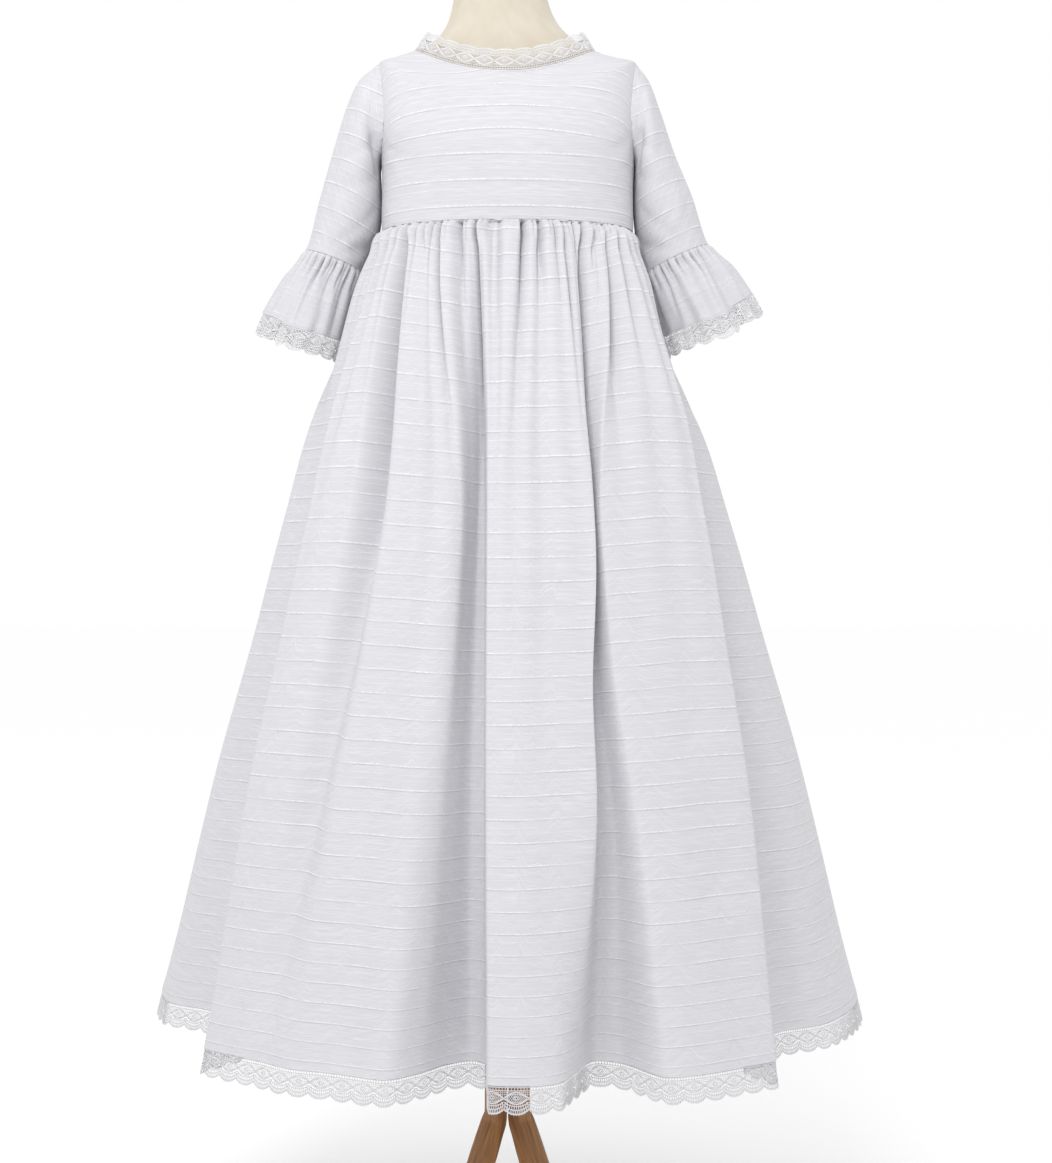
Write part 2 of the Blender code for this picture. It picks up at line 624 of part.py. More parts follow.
def collar_rows():
    """The collar lace, open at the centre back by a narrow slit."""
    half_gap = COLLAR_BACK_SLIT / 2
    start = -180.0 + half_gap
    end = 180.0 - half_gap
    columns = 2 * PANEL_COLUMNS
    angles = [start + (end - start) * column / columns for column in range(columns + 1)]
    top = [collar_foot(angle) for angle in angles]
    bottom = [collar_top(angle) for angle in angles]
    normals = []
    for angle in angles:
        across = collar_foot(angle + TURN_STEP) - collar_foot(angle - TURN_STEP)
        rise = collar_top(angle) - collar_foot(angle)
        normals.append(across.cross(rise).normalized())
    return lace_rows(top, bottom, normals, closed=False)


# Meshes

def make_material(name, finish):
    material = bpy.data.materials.new(name)
    material.use_nodes = True
    shader = material.node_tree.nodes["Principled BSDF"]
    shader.inputs["Base Color"].default_value = (*finish["color"], 1.0)
    shader.inputs["Roughness"].default_value = finish["roughness"]
    shader.inputs["Metallic"].default_value = 0.0
    return material


def finish_object(name, bm, material, sharp_angle=SHARP_ANGLE):
    """Turn a bmesh into a named object in the scene, with its faces outwards."""
    bmesh.ops.recalc_face_normals(bm, faces=bm.faces)
    mesh = bpy.data.meshes.new(name)
    bm.to_mesh(mesh)
    bm.free()
    mesh.materials.append(material)
    mesh.shade_smooth()
    mesh.set_sharp_from_angle(angle=math.radians(sharp_angle))
    made = bpy.data.objects.new(name, mesh)
    bpy.context.scene.collection.objects.link(made)
    return made


def join_rows(bm, upper, lower, closed):
    """Skin the strip between two rows, where the upper has as many points or twice as many."""
    if len(upper) == len(lower):
        count = len(upper) if closed else len(upper) - 1
        for k in range(count):
            after = (k + 1) % len(upper)
            bm.faces.new((upper[k], upper[after], lower[after], lower[k]))
        return
    for k in range(len(lower) - 1):
        bm.faces.new((upper[2 * k], upper[2 * k + 1], lower[k]))
        bm.faces.new((upper[2 * k + 1], lower[k + 1], lower[k]))
        bm.faces.new((upper[2 * k + 1], upper[2 * k + 2], lower[k + 1]))


def cloth_wall(name, rows, thickness, material, closed=False):
    """A wall of cloth about rows of middle points, each with the direction square to it."""
    bm = bmesh.new()
    skins = []
    for side in (0.5, -0.5):
        skin = []
        for row in rows:
            skin.append([bm.verts.new(point + normal * thickness * side) for point, normal in row])
        for upper, lower in zip(skin, skin[1:]):
            join_rows(bm, upper, lower, closed)
        skins.append(skin)
    outer, inner = skins
    for edge in (0, -1):
        join_rows(bm, outer[edge], inner[edge], closed)
    if not closed:
        for end in (0, -1):
            join_rows(bm, [row[end] for row in outer], [row[end] for row in inner], False)
    return finish_object(name, bm, material)


def make_bodice(material):
    cloth_wall("bodice_front", bodice_rows(-90.0, 90.0, PANEL_COLUMNS), CLOTH, material)
    half = PANEL_COLUMNS // 2
    cloth_wall("bodice_back_right", bodice_rows(90.0, 180.0, half), CLOTH, material)
    cloth_wall("bodice_back_left", bodice_rows(180.0, 270.0, half), CLOTH, material)


def make_sleeves(cloth, lace):
    for side in ("right", "left"):
        cloth_wall(f"sleeve_{side}", sleeve_rows(side), CLOTH, cloth, closed=True)
        cloth_wall(f"sleeve_ruffle_{side}", frill_rows(side), CLOTH, cloth, closed=True)
        cloth_wall(f"sleeve_lace_{side}", frill_lace_rows(side), LACE, lace, closed=True)


def make_skirt(cloth, lace):
    quarter = GATHERS / 4
    cloth_wall("skirt_front", skirt_rows(-quarter, quarter), CLOTH, cloth)
    cloth_wall("skirt_back_right", skirt_rows(quarter, 2 * quarter), CLOTH, cloth)
    cloth_wall("skirt_back_left", skirt_rows(2 * quarter, 3 * quarter), CLOTH, cloth)
    cloth_wall("hem_lace_front", hem_lace_rows(-quarter, quarter), LACE, lace)
    cloth_wall("hem_lace_back", hem_lace_rows(quarter, 3 * quarter), LACE, lace)


def make_form(material):
    """The padded torso, with its shoulders and neck, closed at the seat and over the neck."""
    bm = bmesh.new()
    columns = 2 * PANEL_COLUMNS
    rings = []
    for name in BODY_NAMES:
        ease = body_ring(name)["ease"]
        level = level_of(name)
        ring = []
        for column in range(columns):
            angle = 360.0 * column / columns
            point = body_point(angle, level) - body_normal(angle, level) * ease
            ring.append(bm.verts.new(point))
        rings.append(ring)
    last = body_ring("neck_top")
    top = Vector((last["middle_x"], 0.0, last["z_side"] + NECK_DOME["rise"]))
    dome = []
    for vert in rings[-1]:
        inward = vert.co.lerp(top, 1.0 - NECK_DOME["share"])
        dome.append(bm.verts.new((inward.x, inward.y, top.z)))
    rings.append(dome)
    for lower, upper in zip(rings, rings[1:]):
        join_rows(bm, upper, lower, True)
    bm.faces.new(rings[0])
    bm.faces.new(rings[-1])
    finish_object("form_body", bm, material, FORM_SHARP_ANGLE)


def turned_piece(name, sizes, bottom, material):
    """A turned disc or rod with a small chamfer at both ends."""
    radius = sizes["radius"]
    height = sizes["height"]
    chamfer = sizes["chamfer"]
    sides = sizes["sides"]
    profile = (
        (radius - chamfer, bottom),
        (radius, bottom + chamfer),
        (radius, bottom + height - chamfer),
        (radius - chamfer, bottom + height),
    )
    bm = bmesh.new()
    rings = []
    for ring_radius, z in profile:
        ring = []
        for number in range(sides):
            turn = 2 * math.pi * number / sides
            ring.append(bm.verts.new((ring_radius * math.cos(turn), ring_radius * math.sin(turn), z)))
        rings.append(ring)
    for lower, upper in zip(rings, rings[1:]):
        join_rows(bm, upper, lower, True)
    bm.faces.new(rings[0])
    bm.faces.new(rings[-1])
    finish_object(name, bm, material)


def leg_path(at_back):
    """Points of a leg's path, as radius and height."""
    points = []
    top = LEG_PATH[0][1]
    for radius, z, _ in LEG_PATH:
        share = max(0.0, (z - BACK_LEG_FADE_Z) / (top - BACK_LEG_FADE_Z)) ** 0.5
        points.append(Vector((radius + (BACK_LEG_OFFSET * share if at_back else 0.0), z)))
    return points


def leg_section(points, number):
    """The four corners of a leg's bar at a point of its path, as radius, sideways and height."""
    here = points[number]
    before = points[max(number - 1, 0)]
    after = points[min(number + 1, len(points) - 1)]
    run = (here - before).normalized() + (after - here).normalized()
    run.normalize()
    across = Vector((-run.y, run.x))
    if number == 0:
        across = Vector((1.0, 0.0))
    if number >= len(points) - 2:
        across = Vector((0.0, 1.0))
    half_width = LEG_PATH[number][2] / 2
    corners = []
    for face, sideways in ((1, 1), (1, -1), (-1, -1), (-1, 1)):
        corner = here + across * LEG_THICKNESS / 2 * face
        corners.append((corner.x, half_width * sideways, corner.y))
    return corners


def make_leg(name, angle, material):
    """A curved leg that stands out at an angle from the front, flat on the floor at its end."""
    turn = math.radians(angle)
    outward = Vector((math.sin(turn), -math.cos(turn), 0.0))
    sideways = Vector((math.cos(turn), math.sin(turn), 0.0))
    points = leg_path(at_back=abs(angle) > 90.0)
    bm = bmesh.new()
    rings = []
    for station in range(len(points)):
        ring = []
        for radius, side, z in leg_section(points, station):
            place = outward * radius + sideways * side
            ring.append(bm.verts.new((place.x, place.y, z)))
        rings.append(ring)
    for lower, upper in zip(rings, rings[1:]):
        join_rows(bm, upper, lower, True)
    bm.faces.new(rings[0])
    bm.faces.new(rings[-1])
    finish_object(name, bm, material)


def make_stand(material):
    turned_piece("base_plate", PLATE, PLATE_BOTTOM, material)
    turned_piece("pole", POLE, POLE_BOTTOM, material)
    turned_piece("leg_hub", HUB, HUB_BOTTOM, material)
    for name, angle in LEG_ANGLES.items():
        make_leg(name, angle, material)


def main():
    for old in list(bpy.data.objects):
        bpy.data.objects.remove(old)
    materials = {name: make_material(name, finish) for name, finish in FINISHES.items()}
    make_bodice(materials["voile"])
    cloth_wall("collar_lace", collar_rows(), LACE, materials["lace"])
    make_sleeves(materials["voile"], materials["lace"])
    make_skirt(materials["voile"], materials["lace"])
    make_form(materials["form_cloth"])
    make_stand(materials["wood"])


main()
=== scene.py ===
"""A child's communion dress on a limbless dress form: its cloth, lace, stitches, wood and stage.

Metres, +Z up. The dress faces -Y, and +X is on the right of someone who looks at its front. Angles
are degrees round the body: 0 is the centre front, 90 the side at +X, and 180 the centre back.
"""

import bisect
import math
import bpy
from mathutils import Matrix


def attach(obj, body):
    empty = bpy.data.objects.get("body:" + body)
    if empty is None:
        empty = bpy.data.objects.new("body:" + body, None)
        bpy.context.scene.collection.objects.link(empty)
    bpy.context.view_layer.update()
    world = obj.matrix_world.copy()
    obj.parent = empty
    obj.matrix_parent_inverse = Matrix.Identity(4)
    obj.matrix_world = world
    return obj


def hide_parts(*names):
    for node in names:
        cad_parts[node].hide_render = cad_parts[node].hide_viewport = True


bl_info = {
    "name": "Communion Dress on a Dress Form",
    "version": (1, 0, 0),
    "blender": (4, 5, 0),
    "location": "3D View > Sidebar > Dress",
    "description": "Dresses the packed solids of a gathered, lace-trimmed communion dress",
    "category": "Object",
}

import bpy
import numpy as np
from mathutils import Matrix, Vector

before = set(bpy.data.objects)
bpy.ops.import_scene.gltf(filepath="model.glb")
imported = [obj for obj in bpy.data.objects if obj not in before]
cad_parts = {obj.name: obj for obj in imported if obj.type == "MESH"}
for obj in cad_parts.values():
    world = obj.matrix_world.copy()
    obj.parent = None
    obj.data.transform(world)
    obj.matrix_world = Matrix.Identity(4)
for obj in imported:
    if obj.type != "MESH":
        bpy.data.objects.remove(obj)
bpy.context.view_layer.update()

# Sizes of the garment, as in the solids

# The gap between sewn pieces, in metres.
SEAM = 0.0003
# The steps in levels and degrees over which directions on a surface are read.
LEVEL_STEP = 0.1
TURN_STEP = 2.0
# Lengths too small to matter: what keeps a division safe, and a step along a line in metres.
TINY = 1e-12
SMALL_STEP = 1e-4
# Edges of the cloth that turn by more degrees than this look sharp.
SHELL_SHARP_ANGLE = 72.0

# Rings of the body from the seat to the top of the neck, with the cloth's ease over the form.
BODY_COLUMNS = (
    "middle_x", "z_front", "z_side", "z_back", "half_width", "front", "back", "squareness", "ease",
)
BODY_RINGS = (
    ("seat", 0.0, 0.985, 0.985, 0.985, 0.112, 0.076, 0.078, 2.3, 0.0),
    ("hip", 0.0, 1.030, 1.030, 1.030, 0.124, 0.084, 0.088, 2.3, 0.0),
    ("belly", 0.0, 1.090, 1.090, 1.090, 0.124, 0.080, 0.078, 2.4, 0.002),
    ("waist", 0.0, 1.1463, 1.1463, 1.1463, 0.1355, 0.087, 0.082, 2.4, 0.012),
    ("ribs", 0.0, 1.188, 1.188, 1.188, 0.1358, 0.089, 0.084, 2.4, 0.011),
    ("underarm", 0.0, 1.224, 1.228, 1.226, 0.1364, 0.090, 0.086, 2.6, 0.009),
    ("chest", 0.0, 1.247, 1.260, 1.252, 0.1393, 0.086, 0.0855, 2.8, 0.0075),
    ("armhole", 0.0, 1.269, 1.297, 1.280, 0.1410, 0.079, 0.082, 2.8, 0.005),
    ("tip", 0.0, 1.285, 1.3285, 1.302, 0.1385, 0.073, 0.0755, 2.7, 0.0022),
    ("shoulder", -0.0015, 1.296, 1.3355, 1.317, 0.1190, 0.068, 0.0655, 2.4, 0.0014),
    ("neckline", -0.0030, 1.308, 1.3420, 1.332, 0.1000, 0.062, 0.0560, 2.2, 0.0014),
    ("neck_foot", -0.0030, 1.329, 1.3550, 1.350, 0.0780, 0.0425, 0.0440, 2.1, 0.0),
    ("neck_low", -0.0050, 1.360, 1.3710, 1.370, 0.0625, 0.0405, 0.0425, 2.0, 0.0),
    ("neck", -0.0070, 1.389, 1.3900, 1.391, 0.0540, 0.0425, 0.0435, 2.0, 0.0),
    ("neck_high", -0.0082, 1.412, 1.4120, 1.412, 0.0497, 0.0445, 0.0450, 2.0, 0.0),
    ("neck_top", -0.0085, 1.445, 1.4450, 1.445, 0.0485, 0.0465, 0.0465, 2.0, 0.0),
)
BODY_NAMES = [row[0] for row in BODY_RINGS]
BODY_VALUES = [row[1:] for row in BODY_RINGS]
# The neck's low dome: its rise, the share of the rim that it starts from, and its rings.
NECK_DOME = {"rise": 0.006, "share": 0.80, "steps": (0.35, 0.70, 0.92), "inner": (0.6, 0.3)}
# How far the form keeps under the body's surface, and the girth that its jersey is laid out on.
FORM_CLEARANCE = 0.0002
FORM_GIRTH = 0.62
# The armhole's edge is an oval on the side of the body, from the underarm to the shoulder tip: the
# level of its middle, half its height in levels, and half its width in degrees.
ARMHOLE_MIDDLE = (BODY_NAMES.index("underarm") + BODY_NAMES.index("tip")) / 2
ARMHOLE_HALF = (BODY_NAMES.index("tip") - BODY_NAMES.index("underarm")) / 2
ARMHOLE_ANGLE = 24.0
# How far the bodice keeps from a seam in degrees, beside the armhole and elsewhere.
ARMHOLE_INSET = 0.24
SEAM_ANGLE = 0.07

# Rings of each sleeve and its ruffle, from the armhole down to the ruffle's lace.
SLEEVE_COLUMNS = ("outer_x", "outer_z", "inner_x", "inner_z", "half_depth", "middle_y", "wave")
SLEEVE_RINGS = {
    "right": (
        (0.1385, 1.3285, 0.1395, 1.2265, 0.0450, 0.000, 0.0),
        (0.1525, 1.3120, 0.1388, 1.2150, 0.0480, 0.002, 0.0),
        (0.1660, 1.2780, 0.1376, 1.1960, 0.0500, 0.004, 0.0),
        (0.1790, 1.2400, 0.1375, 1.1750, 0.0495, 0.006, 0.0),
        (0.2006, 1.1880, 0.1404, 1.1430, 0.0470, 0.009, 0.0),
        (0.2191, 1.1360, 0.1473, 1.1025, 0.0440, 0.012, 0.0),
        (0.2440, 1.1130, 0.1530, 1.0740, 0.0545, 0.014, 0.0045),
        (0.2660, 1.0810, 0.1660, 1.0350, 0.0640, 0.016, 0.0070),
        (0.2760, 1.0620, 0.1740, 1.0120, 0.0680, 0.017, 0.0080),
    ),
    "left": (
        (0.1385, 1.3285, 0.1395, 1.2265, 0.0450, 0.000, 0.0),
        (0.1600, 1.3125, 0.1388, 1.2160, 0.0480, 0.002, 0.0),
        (0.1745, 1.2840, 0.1376, 1.1990, 0.0500, 0.004, 0.0),
        (0.1880, 1.2400, 0.1375, 1.1780, 0.0490, 0.006, 0.0),
        (0.2040, 1.1850, 0.1414, 1.1450, 0.0460, 0.009, 0.0),
        (0.2204, 1.1296, 0.1573, 1.1056, 0.0420, 0.012, 0.0),
        (0.2440, 1.0990, 0.1620, 1.0750, 0.0520, 0.014, 0.0045),
        (0.2640, 1.0610, 0.1740, 1.0300, 0.0620, 0.016, 0.0070),
        (0.2730, 1.0400, 0.1835, 1.0040, 0.0660, 0.017, 0.0080),
    ),
}
CUFF_RING = 5.0
FRILL_EDGE_RING = 7.0
FRILL_LACE_RING = 8.0
ARMHOLE_FADE_RING = 1.5
# The ruffle's waves: how many, how much lower on the inner side, how uneven, their size, the shares
# of the main and the slow ones, and how they drift.
FRILL_WAVES = 15
FRILL_COLUMNS = 12 * FRILL_WAVES
FRILL_LOWERED = 0.30
FRILL_UNEVEN = {"share": 0.25, "beats": 4, "start": 40.0}
FRILL_SWING = {"all": 0.58, "main": 0.62, "slow": 0.38, "slow_waves": 8, "drift": 0.7}
# The ruffle's round puff under the cuff: how far out, and the rings of its highest and last part.
FRILL_PUFF = {"out": 0.0022, "top": 5.16, "end": 5.9}
# The fold on the front of each ruffle that hangs lower than the rest, at its edge: how far it
# falls in metres, its place and half widths in degrees, and the trough beside it.
FRILL_FOLD = {"right": 0.0125, "left": 0.0065, "turn": 70.0, "outer": 8.0, "inner": 36.0,
              "out": 0.30, "ring": 5.5, "trough": 54.0, "trough_width": 9.0,
              "trough_depth": 0.60, "trough_rings": (5.05, 6.4)}
# How much lower the front of each ruffle hangs, and how much higher the back, at its edge.
FRILL_TILT = {"front": 0.0055, "back": 0.0060, "rings": (5.3, 7.2)}

# Creases that run down each ruffle from its cuff: where round it, the ring where each ends, its
# depth, and its half width in degrees.
FRILL_CREASES = (
    (8.0, 6.3, 0.0034, 2.8), (19.0, 5.7, 0.0022, 2.0), (33.0, 6.5, 0.0042, 3.2),
    (46.0, 5.8, 0.0026, 2.2), (57.0, 6.1, 0.0034, 2.6), (73.0, 6.7, 0.0046, 3.2),
    (85.0, 5.7, 0.0026, 2.0), (97.0, 6.2, 0.0036, 2.8), (110.0, 5.9, 0.0030, 2.2),
    (124.0, 6.6, 0.0044, 3.2), (137.0, 5.8, 0.0026, 2.2), (151.0, 6.3, 0.0036, 2.8),
    (167.0, 6.0, 0.0030, 2.4), (181.0, 6.5, 0.0038, 3.0), (195.0, 5.8, 0.0026, 2.2),
    (208.0, 6.4, 0.0038, 2.8), (224.0, 5.9, 0.0028, 2.2), (238.0, 6.6, 0.0042, 3.2),
    (253.0, 5.8, 0.0026, 2.2), (266.0, 6.2, 0.0034, 2.8), (281.0, 6.7, 0.0044, 3.2),
    (294.0, 5.8, 0.0026, 2.0), (307.0, 6.3, 0.0036, 2.8), (322.0, 5.9, 0.0028, 2.4),
    (337.0, 6.5, 0.0040, 3.0), (350.0, 5.7, 0.0024, 2.0),
    (63.0, 6.9, 0.0026, 5.0), (91.0, 7.0, 0.0030, 6.0), (116.0, 6.8, 0.0026, 5.0),
    (203.0, 6.9, 0.0026, 5.5), (259.0, 6.8, 0.0024, 5.0), (300.0, 6.9, 0.0026, 5.5),
)
# How the creases are scaled: depth and length, their width at the cuff and what it grows by on the
# way down, the share of the way where they are full, and how far the left ruffle's are turned.
FRILL_CREASE_SHAPE = {"depth": 2.0, "length": 1.30, "width": 0.7, "widening": 0.8, "full": 0.10,
                      "left_turn": 7.0}

# Ovals of the skirt from below its hem up to the waist, and how deep its gathers are.
SKIRT_COLUMNS = ("z", "half_width", "front", "back", "squareness", "gather_depth")
SKIRT_OUTLINE = (
    (0.2900, 0.3845, 0.3860, 0.3865, 2.0, 0.0),
    (0.3279, 0.3753, 0.3765, 0.3770, 2.0, 0.0),
    (0.3877, 0.3600, 0.3620, 0.3620, 2.0, 0.0),
    (0.4878, 0.3372, 0.3380, 0.3380, 2.0, 0.0),
    (0.5824, 0.3144, 0.3130, 0.3120, 2.0, 0.0),
    (0.7065, 0.2785, 0.2730, 0.2710, 2.0, 0.0004),
    (0.8000, 0.2515, 0.2430, 0.2410, 2.0, 0.0008),
    (0.8533, 0.2350, 0.2225, 0.2200, 2.0, 0.0011),
    (0.9143, 0.2170, 0.2000, 0.1970, 2.0, 0.0014),
    (1.0046, 0.1870, 0.1600, 0.1560, 2.1, 0.0018),
    (1.0600, 0.1675, 0.1320, 0.1280, 2.2, 0.0023),
    (1.1100, 0.1510, 0.1060, 0.1010, 2.3, 0.0031),
    (1.1300, 0.1425, 0.0955, 0.0905, 2.4, 0.0036),
    (1.1400, 0.1385, 0.0905, 0.0855, 2.4, 0.0030),
    (1.1460, 0.1355, 0.0870, 0.0820, 2.4, 0.0010),
)
SKIRT_HEIGHTS = [row[0] for row in SKIRT_OUTLINE]
WAIST_Z = 1.1460
HEM_Z = 0.3255
# The round puff of each gather: how far out, and the heights of its fullest and its last part.
PUFF = {"out": 0.0046, "top_z": 1.1405, "end_z": 1.1150}
# Gathers are counted round the waist from the centre front, and are spaced and drawn unevenly.
GATHERS = 52
QUARTER = GATHERS / 4
SEAM_GATHER = 0.004
GATHER_SPACING = {"share": 0.15, "beats": 19}
GATHER_UNEVEN = {"share": 0.35, "beats": 7, "start": 46.0}
# Heights at which the fold lines give an angle, and a distance out from the oval.
MID_Z = 0.800
HEM_LINE_Z = 0.310
OUT_HEIGHTS = (0.310, 0.620, 0.900, 1.060, WAIST_Z)
# Fold lines, as in the solids, with the two deep front folds drawn closer together.
FOLD_COLUMNS = ("gather", "mid_angle", "hem_angle", "out_106", "out_90", "out_62", "out_31")
SKIRT_FOLDS = (
    (-13.5, -92.5, -93.0, 0.004, -0.001, -0.003, 0.0005),
    (-12.0, -82.0, -81.0, 0.010, 0.002, -0.008, -0.014),
    (-11.0, -70.0, -71.0, 0.014, -0.012, -0.036, -0.058),
    (-9.4, -52.4, -51.4, -0.002, -0.016, -0.036, -0.054),
    (-8.7, -49.6, -48.2, 0.010, 0.018, 0.015, 0.006),
    (-7.2, -39.0, -42.0, 0.006, 0.010, 0.008, 0.002),
    (-6.2, -32.5, -37.0, -0.016, -0.022, -0.012, 0.000),
    (-5.5, -27.5, -31.0, 0.005, 0.008, 0.007, 0.004),
    (-4.9, -21.5, -24.5, -0.002, -0.003, 0.000, -0.001),
    (-4.3, -15.5, -17.0, 0.005, 0.008, 0.007, 0.004),
    (-3.4, -10.2, -13.0, 0.004, 0.002, -0.004, -0.024),
    (-2.4, -8.7, -9.8, -0.008, -0.018, -0.022, -0.062),
    (-1.9, -7.0, -6.0, -0.014, -0.030, -0.038, -0.080),
    (-1.4, -5.0, -3.0, -0.012, -0.027, -0.036, -0.066),
    (-0.6, -3.5, -1.8, 0.006, 0.008, 0.010, 0.008),
    (0.5, 2.0, 2.5, 0.006, 0.010, 0.014, 0.012),
    (1.5, 8.5, 7.0, 0.003, 0.006, 0.008, 0.004),
    (3.0, 19.8, 10.5, 0.005, 0.008, 0.004, -0.032),
    (4.5, 20.9, 16.0, -0.012, -0.021, -0.025, -0.070),
    (5.0, 21.3, 19.5, -0.008, -0.016, -0.020, -0.052),
    (6.0, 22.2, 22.5, 0.003, 0.003, 0.006, 0.010),
    (6.5, 28.0, 28.0, -0.006, 0.003, 0.010, 0.014),
    (7.5, 38.5, 33.0, 0.006, 0.010, 0.012, 0.013),
    (8.7, 48.6, 39.4, 0.012, 0.020, 0.019, 0.016),
    (9.4, 51.2, 42.0, -0.004, -0.017, -0.031, -0.042),
    (10.5, 61.0, 54.0, 0.008, -0.016, -0.034, -0.050),
    (11.5, 72.0, 65.0, 0.008, -0.008, -0.012, -0.020),
    (13.0, 90.0, 89.0, 0.002, 0.000, -0.001, 0.0005),
    (14.5, 101.0, 101.0, 0.000, -0.010, -0.026, -0.044),
    (15.5, 108.0, 109.0, 0.002, -0.006, -0.016, -0.030),
    (16.5, 114.0, 115.0, 0.004, 0.006, 0.008, 0.008),
    (18.0, 124.0, 125.0, 0.002, 0.002, 0.004, 0.002),
    (19.5, 134.0, 136.0, 0.005, 0.008, 0.010, 0.010),
    (20.5, 141.0, 143.5, -0.006, -0.016, -0.030, -0.050),
    (21.5, 146.0, 149.0, -0.010, -0.028, -0.050, -0.082),
    (22.5, 151.0, 153.0, 0.002, -0.004, -0.012, -0.030),
    (23.5, 158.0, 160.0, 0.006, 0.008, 0.010, 0.010),
    (25.0, 171.0, 172.0, 0.002, 0.004, 0.008, 0.015),
    (26.5, 183.0, 183.0, -0.004, -0.006, -0.004, -0.001),
    (28.0, 193.0, 192.0, 0.005, 0.008, 0.012, 0.016),
    (29.0, 199.0, 197.0, -0.006, -0.018, -0.034, -0.058),
    (30.0, 205.0, 202.0, -0.010, -0.026, -0.050, -0.078),
    (31.0, 211.0, 208.0, 0.003, 0.002, -0.004, -0.016),
    (32.5, 221.0, 220.0, 0.006, 0.008, 0.010, 0.010),
    (33.5, 230.0, 229.0, -0.005, -0.004, 0.000, 0.001),
    (35.0, 242.0, 241.0, 0.005, 0.008, 0.008, 0.006),
    (36.5, 254.0, 253.0, -0.002, -0.016, -0.034, -0.052),
    (37.5, 261.0, 261.0, 0.004, -0.004, -0.014, -0.024),
)
# The same lines with the last and first again beyond the centre back, so that both ends join.
FOLDS = [(row[0] - GATHERS, row[1] - 360.0, row[2] - 360.0, *row[3:]) for row in SKIRT_FOLDS[-3:]]
FOLDS += SKIRT_FOLDS
FOLDS += [(row[0] + GATHERS, row[1] + 360.0, row[2] + 360.0, *row[3:]) for row in SKIRT_FOLDS[:5]]
FOLD_STARTS = [row[0] for row in FOLDS]
# Where the deep fold's edges swing aside between the middle and the hem: gather and height, by how
# many degrees, and the reach in gathers and in height.
SKIRT_SHIFTS = (
    (3.0, 0.67, -1.9, 1.8, 0.10),
    (6.0, 0.68, -1.3, 1.6, 0.12),
)
# Each side is drawn in under the sleeve: where, how far round and up, and how deep.
DENT = {"angle": 93.0, "angle_spread": 17.0, "z": 1.035, "z_spread": 0.050, "depth": 0.025}
DENT_LEFT_SHARE = 0.72

# One repeat of the lace: its width, and its depth from the seam to the picots.
LACE_REPEAT = 0.0222
LACE_DEPTH = 0.0250
# Each arc of the scallop: its top and drop in metres, its half width as a share of the repeat, and
# its number of steps.
LACE_ARCS = (
    (0.0130, 0.0036, 0.48, 12),
    (0.0158, 0.0040, 0.49, 12),
    (0.0188, 0.0045, 0.50, 14),
)
ARC_POWER = 2.4
# The lace's other lines, as distances down from its seam: the heading, the crossing waves with an
# eye between them, the net inside and above them, the links between the arcs, the ladder where two
# repeats meet, and the picots at the edge.
LACE_HEADING = {"top": 0.0006, "foot": 0.0034, "bar_top": 0.0008, "bars": 8}
LACE_WAVE = {"middle": 0.0098, "swing": 0.0050, "inner": 0.0036, "eye": 0.0017}
LACE_NET = {"lean": 0.0026, "rise": 0.0038, "per_repeat": 11, "shortest": 0.0012,
            "level": (0.0050, 0.0066), "uprights": 12, "upright_top": 0.0036,
            "upright_low": 0.0046}
LACE_LINKS = {"reach": 0.94, "counts": (10, 13), "stays": 6, "shortest": 0.0006}
LACE_LADDER = {"rungs": 3, "top": 0.0014, "pitch": 0.0019, "reach": 0.0012, "growth": 0.0013}
LACE_PICOTS = {"reach": 0.88, "steps": 8, "half_width": 0.0006, "depth": 0.0013}
# Each kind of stroke: its width as a share of a cord's or a thread's, and its height in metres.
LACE_CORDS = {
    "heading": ("cord", 1.0, 0.0007), "foot": ("cord", 0.8, 0.0007), "bar": ("cord", 0.75, 0.0005),
    "wave": ("cord", 1.15, 0.0009), "inner": ("cord", 0.6, 0.0006), "eye": ("cord", 0.8, 0.0007),
    "arc_0": ("cord", 0.85, 0.0008), "arc_1": ("cord", 0.9, 0.0008), "arc_2": ("cord", 1.3, 0.001),
    "link": ("cord", 0.75, 0.0006), "picot": ("cord", 0.55, 0.0006),
    "thread": ("thread", 1.0, 0.0004), "stay": ("thread", 1.0, 0.0005),
}
# The collar leans in towards its edge, by these shares, and ripples a little on its way round.
COLLAR_LEAN = {"x": 0.86, "y": 0.92, "rise": 0.0220, "ripple": 0.0007, "beats": 23.0}
COLLAR_SCALLOP = 0.45
COLLAR_CLEARANCE = 0.0009
COLLAR_BACK_SLIT = 1.0

# A leg's middle line, from the hub down and out to its foot, and its width across.
LEG_THICKNESS = 0.0175
LEG_TOP_Z = 0.262 - SEAM
LEG_COLUMNS = ("radius", "z", "width")
LEG_PATH = (
    (0.0176, LEG_TOP_Z, 0.0172),
    (0.0176, 0.2080, 0.0172),
    (0.0183, 0.1890, 0.0178),
    (0.0256, 0.1736, 0.0205),
    (0.0396, 0.1455, 0.0240),
    (0.0580, 0.1130, 0.0255),
    (0.0830, 0.0800, 0.0255),
    (0.1130, 0.0500, 0.0250),
    (0.1480, 0.0260, 0.0240),
    (0.1830, 0.0115, 0.0220),
    (0.2050, LEG_THICKNESS / 2, 0.0210),
    (0.2320, LEG_THICKNESS / 2, 0.0200),
)
LEG_ANGLES = {"leg_front_right": 45.0, "leg_front_left": -45.0,
              "leg_back_right": 145.0, "leg_back_left": -145.0}
# The back legs' tops stand further from the pole, down to the height where that fades.
BACK_LEG_OFFSET = 0.0055
BACK_LEG_FADE_Z = 0.120
# How far a leg's edges are rounded, and how much its grain follows its thickness.
LEG_EDGE = 0.0005
GRAIN_LEAN = 0.6

# Finer form, for the visible cloth alone

